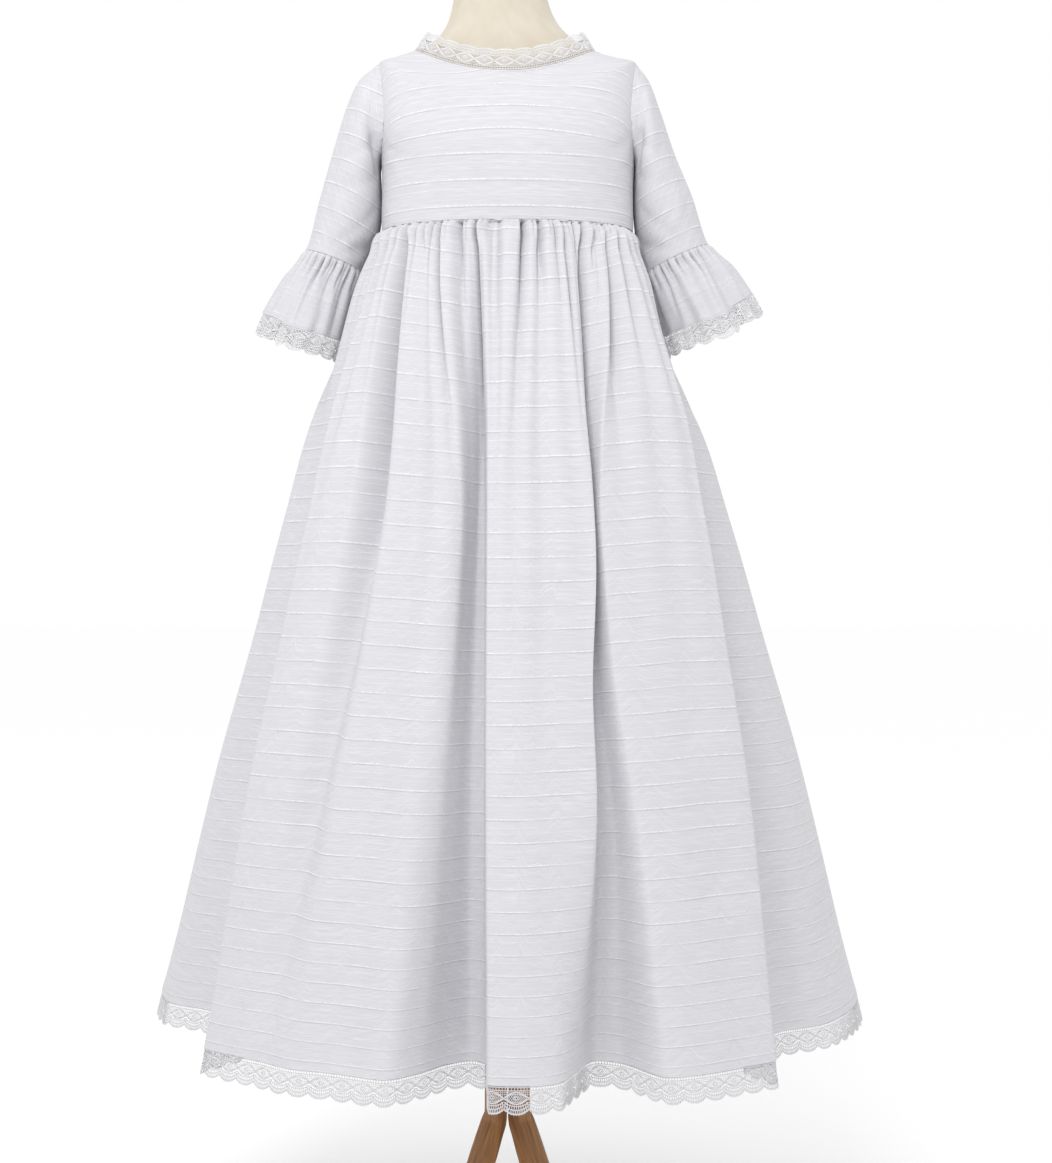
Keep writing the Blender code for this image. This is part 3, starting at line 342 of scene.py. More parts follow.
# Creases of the back that run down from the waist: the gather where each starts, the heights of its
# ends, its depth, its half width in gathers, and how many gathers it drifts on its way down.
SKIRT_CREASES = (
    (11.10, 1.144, 0.960, 0.0044, 0.20, 0.10),
    (12.20, 1.143, 1.060, 0.0032, 0.17, 0.00),
    (14.10, 1.144, 0.970, 0.0044, 0.20, 0.10),
    (15.30, 1.143, 1.060, 0.0034, 0.17, 0.05),
    (16.10, 1.144, 0.910, 0.0052, 0.22, 0.20),
    (17.40, 1.143, 1.040, 0.0040, 0.18, -0.10),
    (18.60, 1.144, 0.950, 0.0048, 0.20, 0.00),
    (19.30, 1.142, 1.085, 0.0028, 0.15, 0.05),
    (20.20, 1.144, 0.900, 0.0056, 0.22, 0.15),
    (21.70, 1.144, 1.020, 0.0044, 0.18, 0.10),
    (22.60, 1.143, 1.070, 0.0032, 0.16, 0.00),
    (23.75, 1.144, 0.940, 0.0048, 0.20, -0.15),
    (24.70, 1.143, 1.050, 0.0036, 0.17, 0.05),
    (25.60, 1.144, 0.980, 0.0042, 0.19, 0.05),
    (26.90, 1.144, 0.930, 0.0050, 0.21, 0.10),
    (28.35, 1.143, 1.060, 0.0034, 0.17, -0.05),
    (29.40, 1.144, 0.910, 0.0054, 0.22, -0.15),
    (30.45, 1.144, 1.030, 0.0042, 0.18, 0.00),
    (31.30, 1.142, 1.085, 0.0028, 0.15, 0.05),
    (32.15, 1.144, 0.950, 0.0046, 0.20, -0.10),
    (33.60, 1.144, 0.900, 0.0054, 0.22, -0.20),
    (34.70, 1.143, 1.050, 0.0036, 0.17, 0.00),
    (35.80, 1.144, 0.970, 0.0046, 0.20, -0.10),
    (37.20, 1.143, 1.060, 0.0034, 0.17, 0.00),
    (38.30, 1.144, 0.990, 0.0042, 0.20, -0.05),
)
# How they are scaled: depth, the widths at their ends, the length where they start, and their fall.
CREASE_SHAPE = {"depth": 1.9, "width": 0.72, "low_width": 1.2, "start": 0.005, "power": 0.9}

# Pleats in the front that run down from the waist seam: the gather where each starts, the height
# where it ends, its depth, its half widths on the crisp and the soft side in gathers, and how many
# gathers it drifts on its way down. A soft half width below 0 lies on the side of lower gathers.
FRONT_PLEATS = (
    (-11.40, 1.050, 0.0056, 0.30, -0.60, -0.20),
    (-10.20, 1.085, 0.0056, 0.30, -0.45, -0.10),
    (-9.40, 1.020, 0.0086, 0.24, -0.60, -0.25),
    (-8.50, 1.104, 0.0076, 0.24, 0.26, 0.00),
    (-8.00, 0.880, 0.0150, 0.16, -0.70, -0.30),
    (-7.30, 1.112, 0.0070, 0.24, 0.24, 0.00),
    (-6.70, 1.118, 0.0066, 0.20, 0.20, 0.00),
    (-6.10, 0.760, 0.0190, 0.14, -0.80, 0.10),
    (-5.55, 1.120, 0.0062, 0.18, 0.18, 0.00),
    (-4.98, 1.098, 0.0105, 0.15, 0.20, 0.00),
    (-4.30, 1.116, 0.0074, 0.14, -0.18, 0.00),
    (-3.68, 0.860, 0.0145, 0.12, -0.65, -0.10),
    (-3.10, 1.118, 0.0066, 0.12, 0.13, 0.00),
    (-2.62, 0.960, 0.0140, 0.15, 0.34, 0.00),
    (-2.17, 1.116, 0.0092, 0.11, 0.12, 0.00),
    (-1.45, 0.840, 0.0150, 0.11, -0.36, -0.30),
    (-0.90, 1.112, 0.0054, 0.12, 0.12, 0.00),
    (-0.62, 1.124, 0.0060, 0.10, 0.10, 0.00),
    (-0.19, 0.880, 0.0118, 0.10, -0.50, -0.06),
    (0.06, 1.122, 0.0056, 0.07, 0.07, 0.00),
    (0.20, 1.128, 0.0044, 0.07, 0.07, 0.00),
    (0.49, 0.900, 0.0118, 0.09, 0.62, -0.04),
    (1.08, 1.124, 0.0066, 0.11, 0.11, 0.00),
    (1.70, 1.040, 0.0150, 0.11, -0.48, 0.06),
    (2.24, 1.122, 0.0058, 0.10, 0.10, 0.00),
    (2.90, 0.880, 0.0135, 0.10, 0.55, 0.10),
    (3.30, 1.124, 0.0060, 0.11, 0.11, 0.00),
    (3.70, 0.980, 0.0110, 0.12, 0.50, 0.40),
    (4.66, 0.880, 0.0180, 0.11, -0.42, 0.05),
    (5.30, 1.086, 0.0094, 0.13, 0.18, 0.00),
    (5.80, 1.120, 0.0062, 0.14, 0.14, 0.00),
    (6.28, 0.880, 0.0160, 0.12, -0.55, 0.30),
    (6.90, 1.112, 0.0070, 0.18, 0.18, 0.00),
    (7.45, 0.980, 0.0120, 0.18, 0.45, 0.20),
    (8.30, 0.940, 0.0120, 0.18, 0.55, 0.25),
    (9.20, 1.100, 0.0066, 0.26, 0.30, 0.05),
    (10.00, 1.000, 0.0096, 0.24, 0.55, 0.20),
    (11.00, 1.090, 0.0056, 0.26, 0.40, 0.05),
    (11.80, 1.060, 0.0056, 0.26, 0.45, 0.10),
)
# How they are scaled: the soft side's width, the width at the waist and what it grows by on the way
# down, the length where they start, and the power of their fall.
PLEAT_SHAPE = {"soft": 0.55, "width": 0.85, "widening": 0.9, "start": 0.0028, "power": 0.8}
# Gathers are narrow valleys at the waist, and plain waves lower down, between two heights.
GATHER_VALLEY = {"power": 0.55, "plain_z": 0.98, "narrow_z": 1.10}
# Fine puckers under the waist seam: depth, how far down they start and fade, and each wave's beats
# in a gather, its start and its share.
RIPPLE = {"depth": 0.0016, "start": 0.008, "fade": 0.030}
RIPPLE_WAVES = ((2.31, 1.3, 0.6), (3.17, 0.4, 0.4))

# Faint wrinkles across the skirt: gather and height of both ends, half width and depth.
SKIRT_WRINKLES = (
    (1.6, 0.520, 2.6, 0.470, 0.0090, 0.0016),
    (0.2, 0.610, 1.2, 0.560, 0.0110, 0.0012),
    (7.0, 0.470, 8.0, 0.515, 0.0100, 0.0018),
    (7.6, 0.420, 8.6, 0.455, 0.0110, 0.0014),
    (6.8, 0.600, 7.6, 0.640, 0.0110, 0.0012),
    (-8.2, 0.560, -7.2, 0.600, 0.0120, 0.0014),
    (-9.0, 0.470, -8.0, 0.430, 0.0110, 0.0014),
    (-6.0, 0.700, -5.2, 0.660, 0.0110, 0.0012),
    (0.6, 0.860, 1.4, 0.900, 0.0100, 0.0010),
    (-1.0, 0.420, 0.4, 0.395, 0.0110, 0.0014),
    (14.5, 0.520, 15.5, 0.480, 0.0120, 0.0015),
    (18.5, 0.600, 19.3, 0.640, 0.0110, 0.0014),
    (24.0, 0.500, 25.0, 0.460, 0.0120, 0.0015),
    (27.5, 0.640, 28.3, 0.600, 0.0110, 0.0012),
    (33.0, 0.540, 34.0, 0.580, 0.0120, 0.0015),
    (36.0, 0.450, 37.0, 0.420, 0.0110, 0.0013),
)
# The folded hem: its height, how far it stands out of the cloth, and how softly it ends.
HEM_FOLD = {"height": 0.012, "thickness": 0.00035, "edge": 0.002}
# The first rows under the waist, which lie closer together: their depth, number and spread.
WAIST_ROWS = {"depth": 0.0345, "count": 13, "power": 1.4}
# How many times closer the columns of the skirt's front are than those of its back.
FRONT_DETAIL = 1.8

# Soft creases on the bodice and sleeves: from one place to another, as an angle or turn and a
# height or ring, with a half width and a depth. A negative depth is a ridge.
BODICE_CREASES = (
    (-68.0, 1.232, -48.0, 1.212, 0.0060, 0.0016),
    (-66.0, 1.222, -52.0, 1.196, 0.0050, -0.0010),
    (-70.0, 1.250, -50.0, 1.262, 0.0055, 0.0008),
    (66.0, 1.240, 50.0, 1.222, 0.0060, 0.0014),
    (68.0, 1.226, 54.0, 1.204, 0.0050, -0.0009),
    (69.0, 1.262, 54.0, 1.284, 0.0055, 0.0008),
    (30.0, 1.205, 52.0, 1.176, 0.0070, 0.0007),
    (-34.0, 1.186, -56.0, 1.162, 0.0070, 0.0007),
    (8.0, 1.172, 16.0, 1.150, 0.0040, 0.0006),
    (-8.0, 1.276, 12.0, 1.272, 0.0080, 0.0005),
    (112.0, 1.236, 134.0, 1.214, 0.0060, 0.0014),
    (110.0, 1.262, 130.0, 1.276, 0.0055, 0.0008),
    (120.0, 1.206, 140.0, 1.178, 0.0070, 0.0007),
    (248.0, 1.238, 226.0, 1.216, 0.0060, 0.0014),
    (250.0, 1.262, 230.0, 1.280, 0.0055, 0.0008),
    (240.0, 1.204, 220.0, 1.174, 0.0070, 0.0007),
)
SLEEVE_CREASES = (
    (70.0, 0.6, 112.0, 1.5, 0.0050, 0.0030),
    (92.0, 0.5, 128.0, 1.2, 0.0040, 0.0024),
    (112.0, 0.9, 140.0, 1.9, 0.0045, 0.0028),
    (62.0, 1.3, 100.0, 2.6, 0.0060, -0.0016),
    (100.0, 1.9, 62.0, 3.0, 0.0060, 0.0022),
    (130.0, 2.4, 70.0, 3.6, 0.0075, 0.0024),
    (136.0, 3.5, 84.0, 4.7, 0.0060, 0.0026),
    (60.0, 4.0, 112.0, 4.8, 0.0050, -0.0016),
    (30.0, 2.4, 50.0, 4.4, 0.0080, 0.0014),
    (250.0, 0.9, 290.0, 2.3, 0.0065, 0.0018),
    (220.0, 2.0, 270.0, 3.4, 0.0070, 0.0014),
    (230.0, 3.6, 290.0, 4.7, 0.0070, 0.0016),
    (300.0, 3.0, 320.0, 4.6, 0.0080, 0.0010),
    (152.0, 4.30, 100.0, 4.78, 0.0072, 0.0034),
    (150.0, 4.74, 106.0, 4.92, 0.0034, -0.0012),
)

# The skirt's ribs: numbers, and distances below the waist on the cloth at one gather of the front.
# They lie further down at the sides, by the shift, from the side angle on.
RIB_GATHER = 0.5
RIB_NUMBERS = (-2, 0, 4, 8, 12, 16, 20, 24, 28, 33, 36)
RIB_PLACES = (-0.0155, 0.0545, 0.187, 0.302, 0.408, 0.5032, 0.5945, 0.681, 0.762, 0.851, 0.902)
RIB_SIDE_SHIFT = 0.032
RIB_SIDE_ANGLE = 50.0
# Ribs of the other pieces: the first rib's place, the spacing, and how the sleeve's ribs slope.
BODICE_RIB = {"first": 0.014, "repeat": 0.0272, "stretch": 1.02}
SLEEVE_RIB = {"slope": 0.51, "repeat": 0.0296, "right": 1.196, "left": 1.1905}
RUFFLE_RIB = {"first": 0.4, "repeat": 0.030}

# Waves of the cloth's own unevenness: beats along x, y and z, start and share. Then its depth.
UNEVEN_WAVES = (
    ((37.0, 9.0, 23.0), 0.0, 0.5),
    ((-43.0, 0.0, 71.0), 1.7, 0.3),
    ((97.0, 31.0, 61.0), 0.6, 0.2),
)
UNEVEN_BODICE = 0.0007
UNEVEN_SLEEVE = 0.0005
UNEVEN_RUFFLE = 0.0012
# A crease's depth at its ends, and the part of a half wave that it rises and falls by.
CREASE_TAPER = {"least": 0.35, "start": 0.10, "span": 0.85}
# Where creases and unevenness fade out beside the seams, in metres, rings, or from ring to ring.
BODICE_FADE = 0.010
SLEEVE_FADE = {"armhole": 0.5, "cuff": 4.85}
RUFFLE_FADE = (5.1, 5.6)
# Puckers at the armhole's seam: depth, ring and reach, and each wave's beats, start and share.
SLEEVE_PUCKER = {"depth": 0.00045, "ring": 0.12, "reach": 0.14}
SLEEVE_PUCKER_WAVES = ((31.0, 0.0, 1.0), (47.0, 30.0, 0.6))
SLEEVE_LEFT_TURN = 8.0

# Each stitch: its length and width, and how far it stands out of the cloth and sinks in.
STITCH = {"length": 0.0020, "width": 0.0006, "neck_width": 0.0007, "rim": 0.0001, "top": 0.0005,
          "root": 0.0003}
# Stitches run on the second of three lines on the cloth, which lie so far above the hem in metres,
# above the ruffle's edge in rings, and below the neckline in levels.
STITCH_LINES = {"hem": (0.006, 0.0022, 0.0), "ruffle": (0.20, 0.06, 0.0), "neck": (0.30, 0.16, 0.0)}

# Noise in the voile: how often it repeats in a metre across and along, its detail and roughness.
VOILE_NOISE = {
    "sway": (9.0, 4.0, 2.0, 0.5),
    "dots": (330.0, 60.0, 2.0, 0.5),
    "broken": (26.0, 45.0, 2.0, 0.5),
    "slubs": (48.0, 900.0, 1.0, 0.5),
    "warp": (900.0, 45.0, 2.0, 0.6),
    "grain": (1300.0, 1300.0, 2.0, 0.6),
    "clouds": (14.0, 20.0, 3.0, 0.5),
    "bands": (7.0, 230.0, 2.0, 0.6),
}
# How far a rib sways from its place, as a share of the ribs' spacing.
VOILE_SWAY = 0.012
# Lines beside each rib: place and half width as shares of the ribs' spacing, and strength.
# The under line is a fine groove below each rib, and its colour is painted shadow.
VOILE_LINES = {
    "main": (0.0, 0.050, 1.0),
    "second": (0.37, 0.026, 0.45),
    "third": (0.60, 0.024, 0.22),
    "under": (0.052, 0.040, 1.0),
}
# Where each noise starts and ends to shade the voile, and how much. Then its share of the relief.
VOILE_SHADES = (("bands", 0.38, 0.62, 0.55), ("warp", 0.40, 0.62, 0.16), ("clouds", 0.3, 0.7, 0.25))
VOILE_RELIEF = {"slubs": 0.16, "warp": 0.10, "grain": 0.12}
# Noise scales of the wood's grain and pores, by the places that a piece's pattern follows.
WOOD_SCALES = {
    "UV": ((160.0, 9.0, 1.0), (900.0, 26.0, 1.0)),
    "Object": ((150.0, 150.0, 9.0), (800.0, 800.0, 26.0)),
}

# The stage's camera and light.
CAMERA = {"place": (0.020, -2.02, 0.769), "lens": 57.5, "sensor": 36.0}
KEY_LIGHT = {"power": 17.5, "size": 0.8, "place": (-0.42, -1.62, 2.25), "target": (0.0, 0.0, 1.15)}
WHITE = (1.0, 1.0, 1.0, 1.0)


# Curves and tables

def even(first, last, steps):
    """Evenly spaced places from the first to the last."""
    return [first + (last - first) * step / steps for step in range(steps + 1)]


def fade(low, high, at):
    """A soft step from 0 to 1 between two values."""
    t = min(1.0, max(0.0, (at - low) / (high - low)))
    return t * t * (3.0 - 2.0 * t)


def bell(away, reach):
    """A soft bump that is 1 in its middle and falls to 0 on both sides."""
    return math.exp(-((away / reach) ** 2))


def hump(start, top, end, at):
    """A soft rise from one value to another and fall to a third."""
    return fade(start, top, at) * (1.0 - fade(top, end, at))


def smooth_value(knots, values, at):
    """Read a smooth curve through the values at rising knots, which never overshoots them."""
    if at <= knots[0]:
        return values[0]
    if at >= knots[-1]:
        return values[-1]
    first = bisect.bisect_right(knots, at) - 1

    def rise(k):
        return (values[k + 1] - values[k]) / (knots[k + 1] - knots[k])

    def slope(k):
        if k == 0:
            return rise(0)
        if k == len(knots) - 1:
            return rise(k - 1)
        before = rise(k - 1)
        after = rise(k)
        if before * after <= 0.0:
            return 0.0
        return 2.0 * before * after / (before + after)

    span = knots[first + 1] - knots[first]
    t = (at - knots[first]) / span
    start = values[first] * (1 + 2 * t) * (1 - t) ** 2 + slope(first) * span * t * (1 - t) ** 2
    end = values[first + 1] * t * t * (3 - 2 * t) - slope(first + 1) * span * t * t * (1 - t)
    return start + end


def read_row(rows, columns, at, knots=None):
    """Read every named column of a table at a place between its rows."""
    places = knots or list(range(len(rows)))
    return {
        name: smooth_value(places, [row[number] for row in rows], at)
        for number, name in enumerate(columns)
    }


def signed_power(value, power):
    return math.copysign(abs(value) ** power, value)


def oval(angle, half_width, front, back, squareness):
    """A point of a rounded oval, as x and y."""
    across = math.sin(math.radians(angle))
    ahead = math.cos(math.radians(angle))
    power = 2.0 / squareness
    depth = front if ahead > 0 else back
    return half_width * signed_power(across, power), -depth * signed_power(ahead, power)


# Surfaces of the body and sleeves

def level_of(name):
    return float(BODY_NAMES.index(name))


def body_point(angle, level):
    """A point of the upper body's middle surface, at a level between two named rings."""
    ring = read_row(BODY_VALUES, BODY_COLUMNS, level)
    x, y = oval(angle, ring["half_width"], ring["front"], ring["back"], ring["squareness"])
    side_share = math.sin(math.radians(angle)) ** 2
    middle = ring["z_front"] if math.cos(math.radians(angle)) > 0 else ring["z_back"]
    z = middle + (ring["z_side"] - middle) * side_share
    return Vector((x + ring["middle_x"], y, z))


def body_normal(angle, level):
    low = max(level - LEVEL_STEP, 0.0)
    high = min(level + LEVEL_STEP, len(BODY_RINGS) - 1.0)
    along = body_point(angle, high) - body_point(angle, low)
    across = body_point(angle + TURN_STEP, level) - body_point(angle - TURN_STEP, level)
    return across.cross(along).normalized()


def armhole_level(turn):
    """The level on the armhole's edge, where turn 0 is the shoulder tip and 180 the underarm."""
    return ARMHOLE_MIDDLE + ARMHOLE_HALF * math.cos(math.radians(turn))


def armhole_half_angle(level):
    """How far round from the side the armhole's edge lies at a level."""
    share = (level - ARMHOLE_MIDDLE) / ARMHOLE_HALF
    return ARMHOLE_ANGLE * math.sqrt(max(0.0, 1.0 - share * share))


def armhole_shift(turn, station):
    """What brings the sleeve's first rings to the armhole's edge, on the side at +X."""
    share = max(0.0, 1.0 - station / ARMHOLE_FADE_RING) ** 2
    if share == 0.0:
        return Vector((0.0, 0.0, 0.0))
    level = armhole_level(turn)
    around = math.copysign(armhole_half_angle(level), math.sin(math.radians(turn)))
    edge = body_point(90.0 - around, level)
    ring = dict(zip(SLEEVE_COLUMNS, SLEEVE_RINGS["right"][0]))
    return (edge - ring_point(ring, turn)) * share


def ring_point(ring, turn):
    """A point of one of the sleeve's oval rings, on the side at +X."""
    outer = Vector((ring["outer_x"], ring["middle_y"], ring["outer_z"]))
    inner = Vector((ring["inner_x"], ring["middle_y"], ring["inner_z"]))
    radians = math.radians(turn)
    point = (outer + inner) / 2 + (outer - inner) / 2 * math.cos(radians)
    point.y -= ring["half_depth"] * math.sin(radians)
    return point


def sleeve_point(turn, station, side):
    """A point of a sleeve or its ruffle, where turn 0 is the outer line and 90 the front."""
    ring = read_row(SLEEVE_RINGS[side], SLEEVE_COLUMNS, station)
    point = ring_point(ring, turn) + armhole_shift(turn, station)
    point.x *= 1.0 if side == "right" else -1.0
    return point


def sleeve_normal(turn, station, side):
    after = sleeve_point(turn + TURN_STEP, station, side)
    before = sleeve_point(turn - TURN_STEP, station, side)
    low = max(0.0, station - LEVEL_STEP)
    down = sleeve_point(turn, station + LEVEL_STEP, side) - sleeve_point(turn, low, side)
    normal = (after - before).cross(down).normalized()
    middle = (sleeve_point(0.0, station, side) + sleeve_point(180.0, station, side)) / 2
    if normal.dot(sleeve_point(turn, station, side) - middle) < 0:
        normal.negate()
    return normal


def frill_creases(turn, station, side):
    """How far the creases below the cuff draw the ruffle in."""
    shape = FRILL_CREASE_SHAPE
    turned = shape["left_turn"] if side == "left" else 0.0
    depth = 0.0
    for start, end, deep, half_width in FRILL_CREASES:
        length = (end - CUFF_RING) * shape["length"]
        t = (station - CUFF_RING) / length
        away = (turn - start - turned + 180.0) % 360.0 - 180.0
        reach = half_width * (shape["width"] + shape["widening"] * t)
        if t < 1.0 and abs(away) < 3.0 * reach:
            envelope = fade(0.0, shape["full"], t) * (1.0 - t)
            depth += shape["depth"] * deep * envelope * bell(away, reach)
    return depth


def frill_point(turn, station, side):
    """A point of the ruffle's uneven waves, with creases that run down from the cuff."""
    wave = read_row(SLEEVE_RINGS[side], SLEEVE_COLUMNS, station)["wave"]
    radians = math.radians(turn)
    lowered = FRILL_LOWERED * (1.0 - math.cos(radians))
    beats = math.radians(FRILL_UNEVEN["beats"] * turn + FRILL_UNEVEN["start"])
    uneven = 1.0 + FRILL_UNEVEN["share"] * math.sin(beats)
    drift = FRILL_SWING["drift"]
    waves = FRILL_SWING["main"] * math.cos(FRILL_WAVES * radians + drift * math.sin(3 * radians))
    waves += FRILL_SWING["slow"] * math.cos(FRILL_SWING["slow_waves"] * radians + drift)
    swing = wave * FRILL_SWING["all"] * (1.0 - lowered) * uneven * waves
    swing -= frill_creases(turn, station, side)
    swing += FRILL_PUFF["out"] * hump(CUFF_RING, FRILL_PUFF["top"], FRILL_PUFF["end"], station)
    beyond = turn - FRILL_FOLD["turn"]
    lobe = bell(beyond, FRILL_FOLD["inner" if beyond > 0.0 else "outer"])
    fall = FRILL_FOLD[side] * fade(FRILL_FOLD["ring"], FRILL_LACE_RING, station)
    swing += FRILL_FOLD["out"] * fall * lobe
    trough = bell(turn - FRILL_FOLD["trough"], FRILL_FOLD["trough_width"])
    depth = FRILL_FOLD["trough_depth"] * FRILL_FOLD[side]
    swing -= depth * fade(*FRILL_FOLD["trough_rings"], station) * trough
    point = sleeve_point(turn, station, side) + sleeve_normal(turn, station, side) * swing
    tilt = FRILL_TILT["front" if math.sin(radians) > 0.0 else "back"] * math.sin(radians)
    point.z -= fall * lobe + tilt * fade(*FRILL_TILT["rings"], station)
    return point


# Surface of the skirt

def skirt_dent(angle, z):
    """How far the skirt is drawn in at each side under the sleeve."""
    from_side = abs((angle + 180.0) % 360.0 - 180.0) - DENT["angle"]
    share = DENT_LEFT_SHARE if math.sin(math.radians(angle)) < 0 else 1.0
    shape = bell(from_side, DENT["angle_spread"]) * bell(z - DENT["z"], DENT["z_spread"])
    return DENT["depth"] * share * shape ** 0.5


def gather_wave(gather, z):
    """The gathers' wave from 1 to -1: narrow valleys at the waist, and plain waves lower down."""
    plain = math.cos(2 * math.pi * gather)
    narrow = 2.0 * abs(math.cos(math.pi * gather)) ** GATHER_VALLEY["power"] - 1.0
    share = fade(GATHER_VALLEY["plain_z"], GATHER_VALLEY["narrow_z"], z)
    return plain + (narrow - plain) * share


def skirt_creases(gather, z):
    """How far the creases below the waist draw the cloth in."""
    shape = CREASE_SHAPE
    depth = 0.0
    for start, top, end, deep, half_width, drift in SKIRT_CREASES:
        if not end <= z <= top:
            continue
        t = (top - z) / (top - end)
        away = (gather - start - drift * t + GATHERS / 2) % GATHERS - GATHERS / 2
        reach = half_width * (shape["width"] + (shape["low_width"] - shape["width"]) * t)
        if abs(away) <= 3.0 * reach:
            envelope = min(1.0, (top - z) / shape["start"]) * (1.0 - t) ** shape["power"]
            depth += deep * envelope * bell(away, reach)
    return depth * shape["depth"]


def skirt_pleats(gather, z):
    """How far the front's pleats draw the cloth in: steep on one side, and slow on the other."""
    shape = PLEAT_SHAPE
    depth = 0.0
    for start, end_z, deep, crisp, soft, drift in FRONT_PLEATS:
        if z < end_z:
            continue
        t = (WAIST_Z - z) / (WAIST_Z - end_z)
        away = gather - start - drift * t
        widening = shape["width"] + shape["widening"] * t
        if away * soft > 0.0:
            side = math.exp(-abs(away) / (shape["soft"] * abs(soft) * widening))
        else:
            side = bell(away, crisp * widening)
        envelope = fade(WAIST_Z, WAIST_Z - shape["start"], z) * (1.0 - t) ** shape["power"]
        depth += deep * envelope * side
    return depth


def skirt_puff(gather, z):
    """The round puff of each gather, right under the waist seam."""
    share = hump(WAIST_Z, PUFF["top_z"], PUFF["end_z"], z)
    return PUFF["out"] * share * max(0.0, gather_wave(gather, z)) ** 0.5


def skirt_shift(gather, z):
    """How far round the deep fold's edges swing, in degrees."""
    return sum(
        degrees * bell(gather - middle, gather_reach) * bell(z - height, height_reach)
        for middle, height, degrees, gather_reach, height_reach in SKIRT_SHIFTS
    )


def skirt_ripple(gather, z):
    """The fine puckers right under the waist seam."""
    below = WAIST_Z - z
    share = fade(0.0, RIPPLE["start"], below) * math.exp(-below / RIPPLE["fade"])
    waves = [part * math.sin(2 * math.pi * beats * gather + start)
             for beats, start, part in RIPPLE_WAVES]
    return RIPPLE["depth"] * share * sum(waves)


def skirt_point(gather, z, fold, outline):
    """A point of the skirt's middle surface, by the gather that it hangs from and its height."""
    round_waist = 2 * math.pi * gather / GATHERS
    spacing = GATHER_SPACING["share"] * math.sin(GATHER_SPACING["beats"] * round_waist)
    waist_angle = 360.0 / GATHERS * (gather + spacing)
    angles = (fold["hem_angle"], fold["mid_angle"], waist_angle)
    angle = smooth_value((HEM_LINE_Z, MID_Z, WAIST_Z), angles, z) + skirt_shift(gather, z)
    outs = (fold["out_31"], fold["out_62"], fold["out_90"], fold["out_106"], 0.0)
    out = smooth_value(OUT_HEIGHTS, outs, z)
    beats = GATHER_UNEVEN["beats"] * round_waist + math.radians(GATHER_UNEVEN["start"])
    uneven = 1.0 + GATHER_UNEVEN["share"] * math.sin(beats)
    out += outline["gather_depth"] * uneven * gather_wave(gather, z)
    out -= skirt_dent(angle, z)
    out += skirt_puff(gather, z) + skirt_ripple(gather, z)
    out -= skirt_creases(gather, z) + skirt_pleats(gather, z)
    x, y = oval(angle, outline["half_width"], outline["front"], outline["back"],
                outline["squareness"])
    length = math.hypot(x, y)
    return x + x / length * out, y + y / length * out, z


def skirt_grid(gathers, heights):
    """Points of the skirt for every height and gather."""
    folds = [read_row(FOLDS, FOLD_COLUMNS, gather, FOLD_STARTS) for gather in gathers]
    rows = []
    for z in heights:
        outline = read_row(SKIRT_OUTLINE, SKIRT_COLUMNS, z, SKIRT_HEIGHTS)
        rows.append([skirt_point(gather, z, fold, outline)
                     for gather, fold in zip(gathers, folds)])
    return np.array(rows)


# Cloth meshes

def unit(vectors):
    """Vectors of the same directions with a length of 1."""
    return vectors / np.maximum(np.linalg.norm(vectors, axis=-1, keepdims=True), TINY)


def grid_normals(grid, closed=False):
    """Directions square to a grid of points, from its neighbours."""
    if closed:
        across = np.roll(grid, -1, axis=1) - np.roll(grid, 1, axis=1)
    else:
        across = np.gradient(grid, axis=1)
    return unit(np.cross(across, np.gradient(grid, axis=0)))


def facing_normals(grid, outward, closed=False):
    """Directions square to a grid of points, on the side that outward points to."""
    normals = grid_normals(grid, closed)
    return -normals if np.sum(normals * outward) < 0 else normals


def from_axis(grid):
    """Directions away from the object's upright axis."""
    return grid * np.array([1.0, 1.0, 0.0])


def from_middle(grid):
    """Directions away from the middle line of a closed tube."""
    return grid - grid.mean(axis=1, keepdims=True)


def push(grid, normals, amounts):
    return grid + normals * amounts[..., None]


def lengths_along(grid, axis):
    """Distances along the rows or columns of a grid, from the first point of each."""
    steps = np.linalg.norm(np.diff(grid, axis=axis), axis=2)
    start = np.zeros_like(np.take(steps, [0], axis=axis))
    return np.concatenate([start, np.cumsum(steps, axis=axis)], axis=axis)


def line_lengths(line):
    """Distances along a line of points, from its first."""
    steps = np.linalg.norm(np.diff(line, axis=0), axis=1)
    return np.concatenate([[0.0], np.cumsum(steps)])


def read_line(places, lengths, line):
    """Points of a line, or directions along it, at distances from its first point."""
    return np.stack([np.interp(places, lengths, line[:, axis]) for axis in range(3)], 1)


def new_object(name, points, faces, layers, material, sharp_angle=None):
    """A smooth mesh object at the origin, with a value per face corner in each named UV layer."""
    mesh = bpy.data.meshes.new(name)
    mesh.from_pydata(points.tolist(), [], faces)
    for layer, values in layers.items():
        mesh.uv_layers.new(name=layer)
        mesh.uv_layers[layer].data.foreach_set("uv", values.astype(np.float32).ravel())
    mesh.materials.append(material)
    mesh.shade_smooth()
    if sharp_angle is not None:
        mesh.set_sharp_from_angle(angle=math.radians(sharp_angle))
    mesh.update()
    made = bpy.data.objects.new(name, mesh)
    bpy.context.scene.collection.objects.link(made)
    return made


def turn_faces_out(piece):
    bpy.ops.object.select_all(action="DESELECT")
    piece.select_set(True)
    bpy.context.view_layer.objects.active = piece
    bpy.ops.object.mode_set(mode="EDIT")
    bpy.ops.mesh.select_all(action="SELECT")
    bpy.ops.mesh.normals_make_consistent(inside=False)
    bpy.ops.object.mode_set(mode="OBJECT")


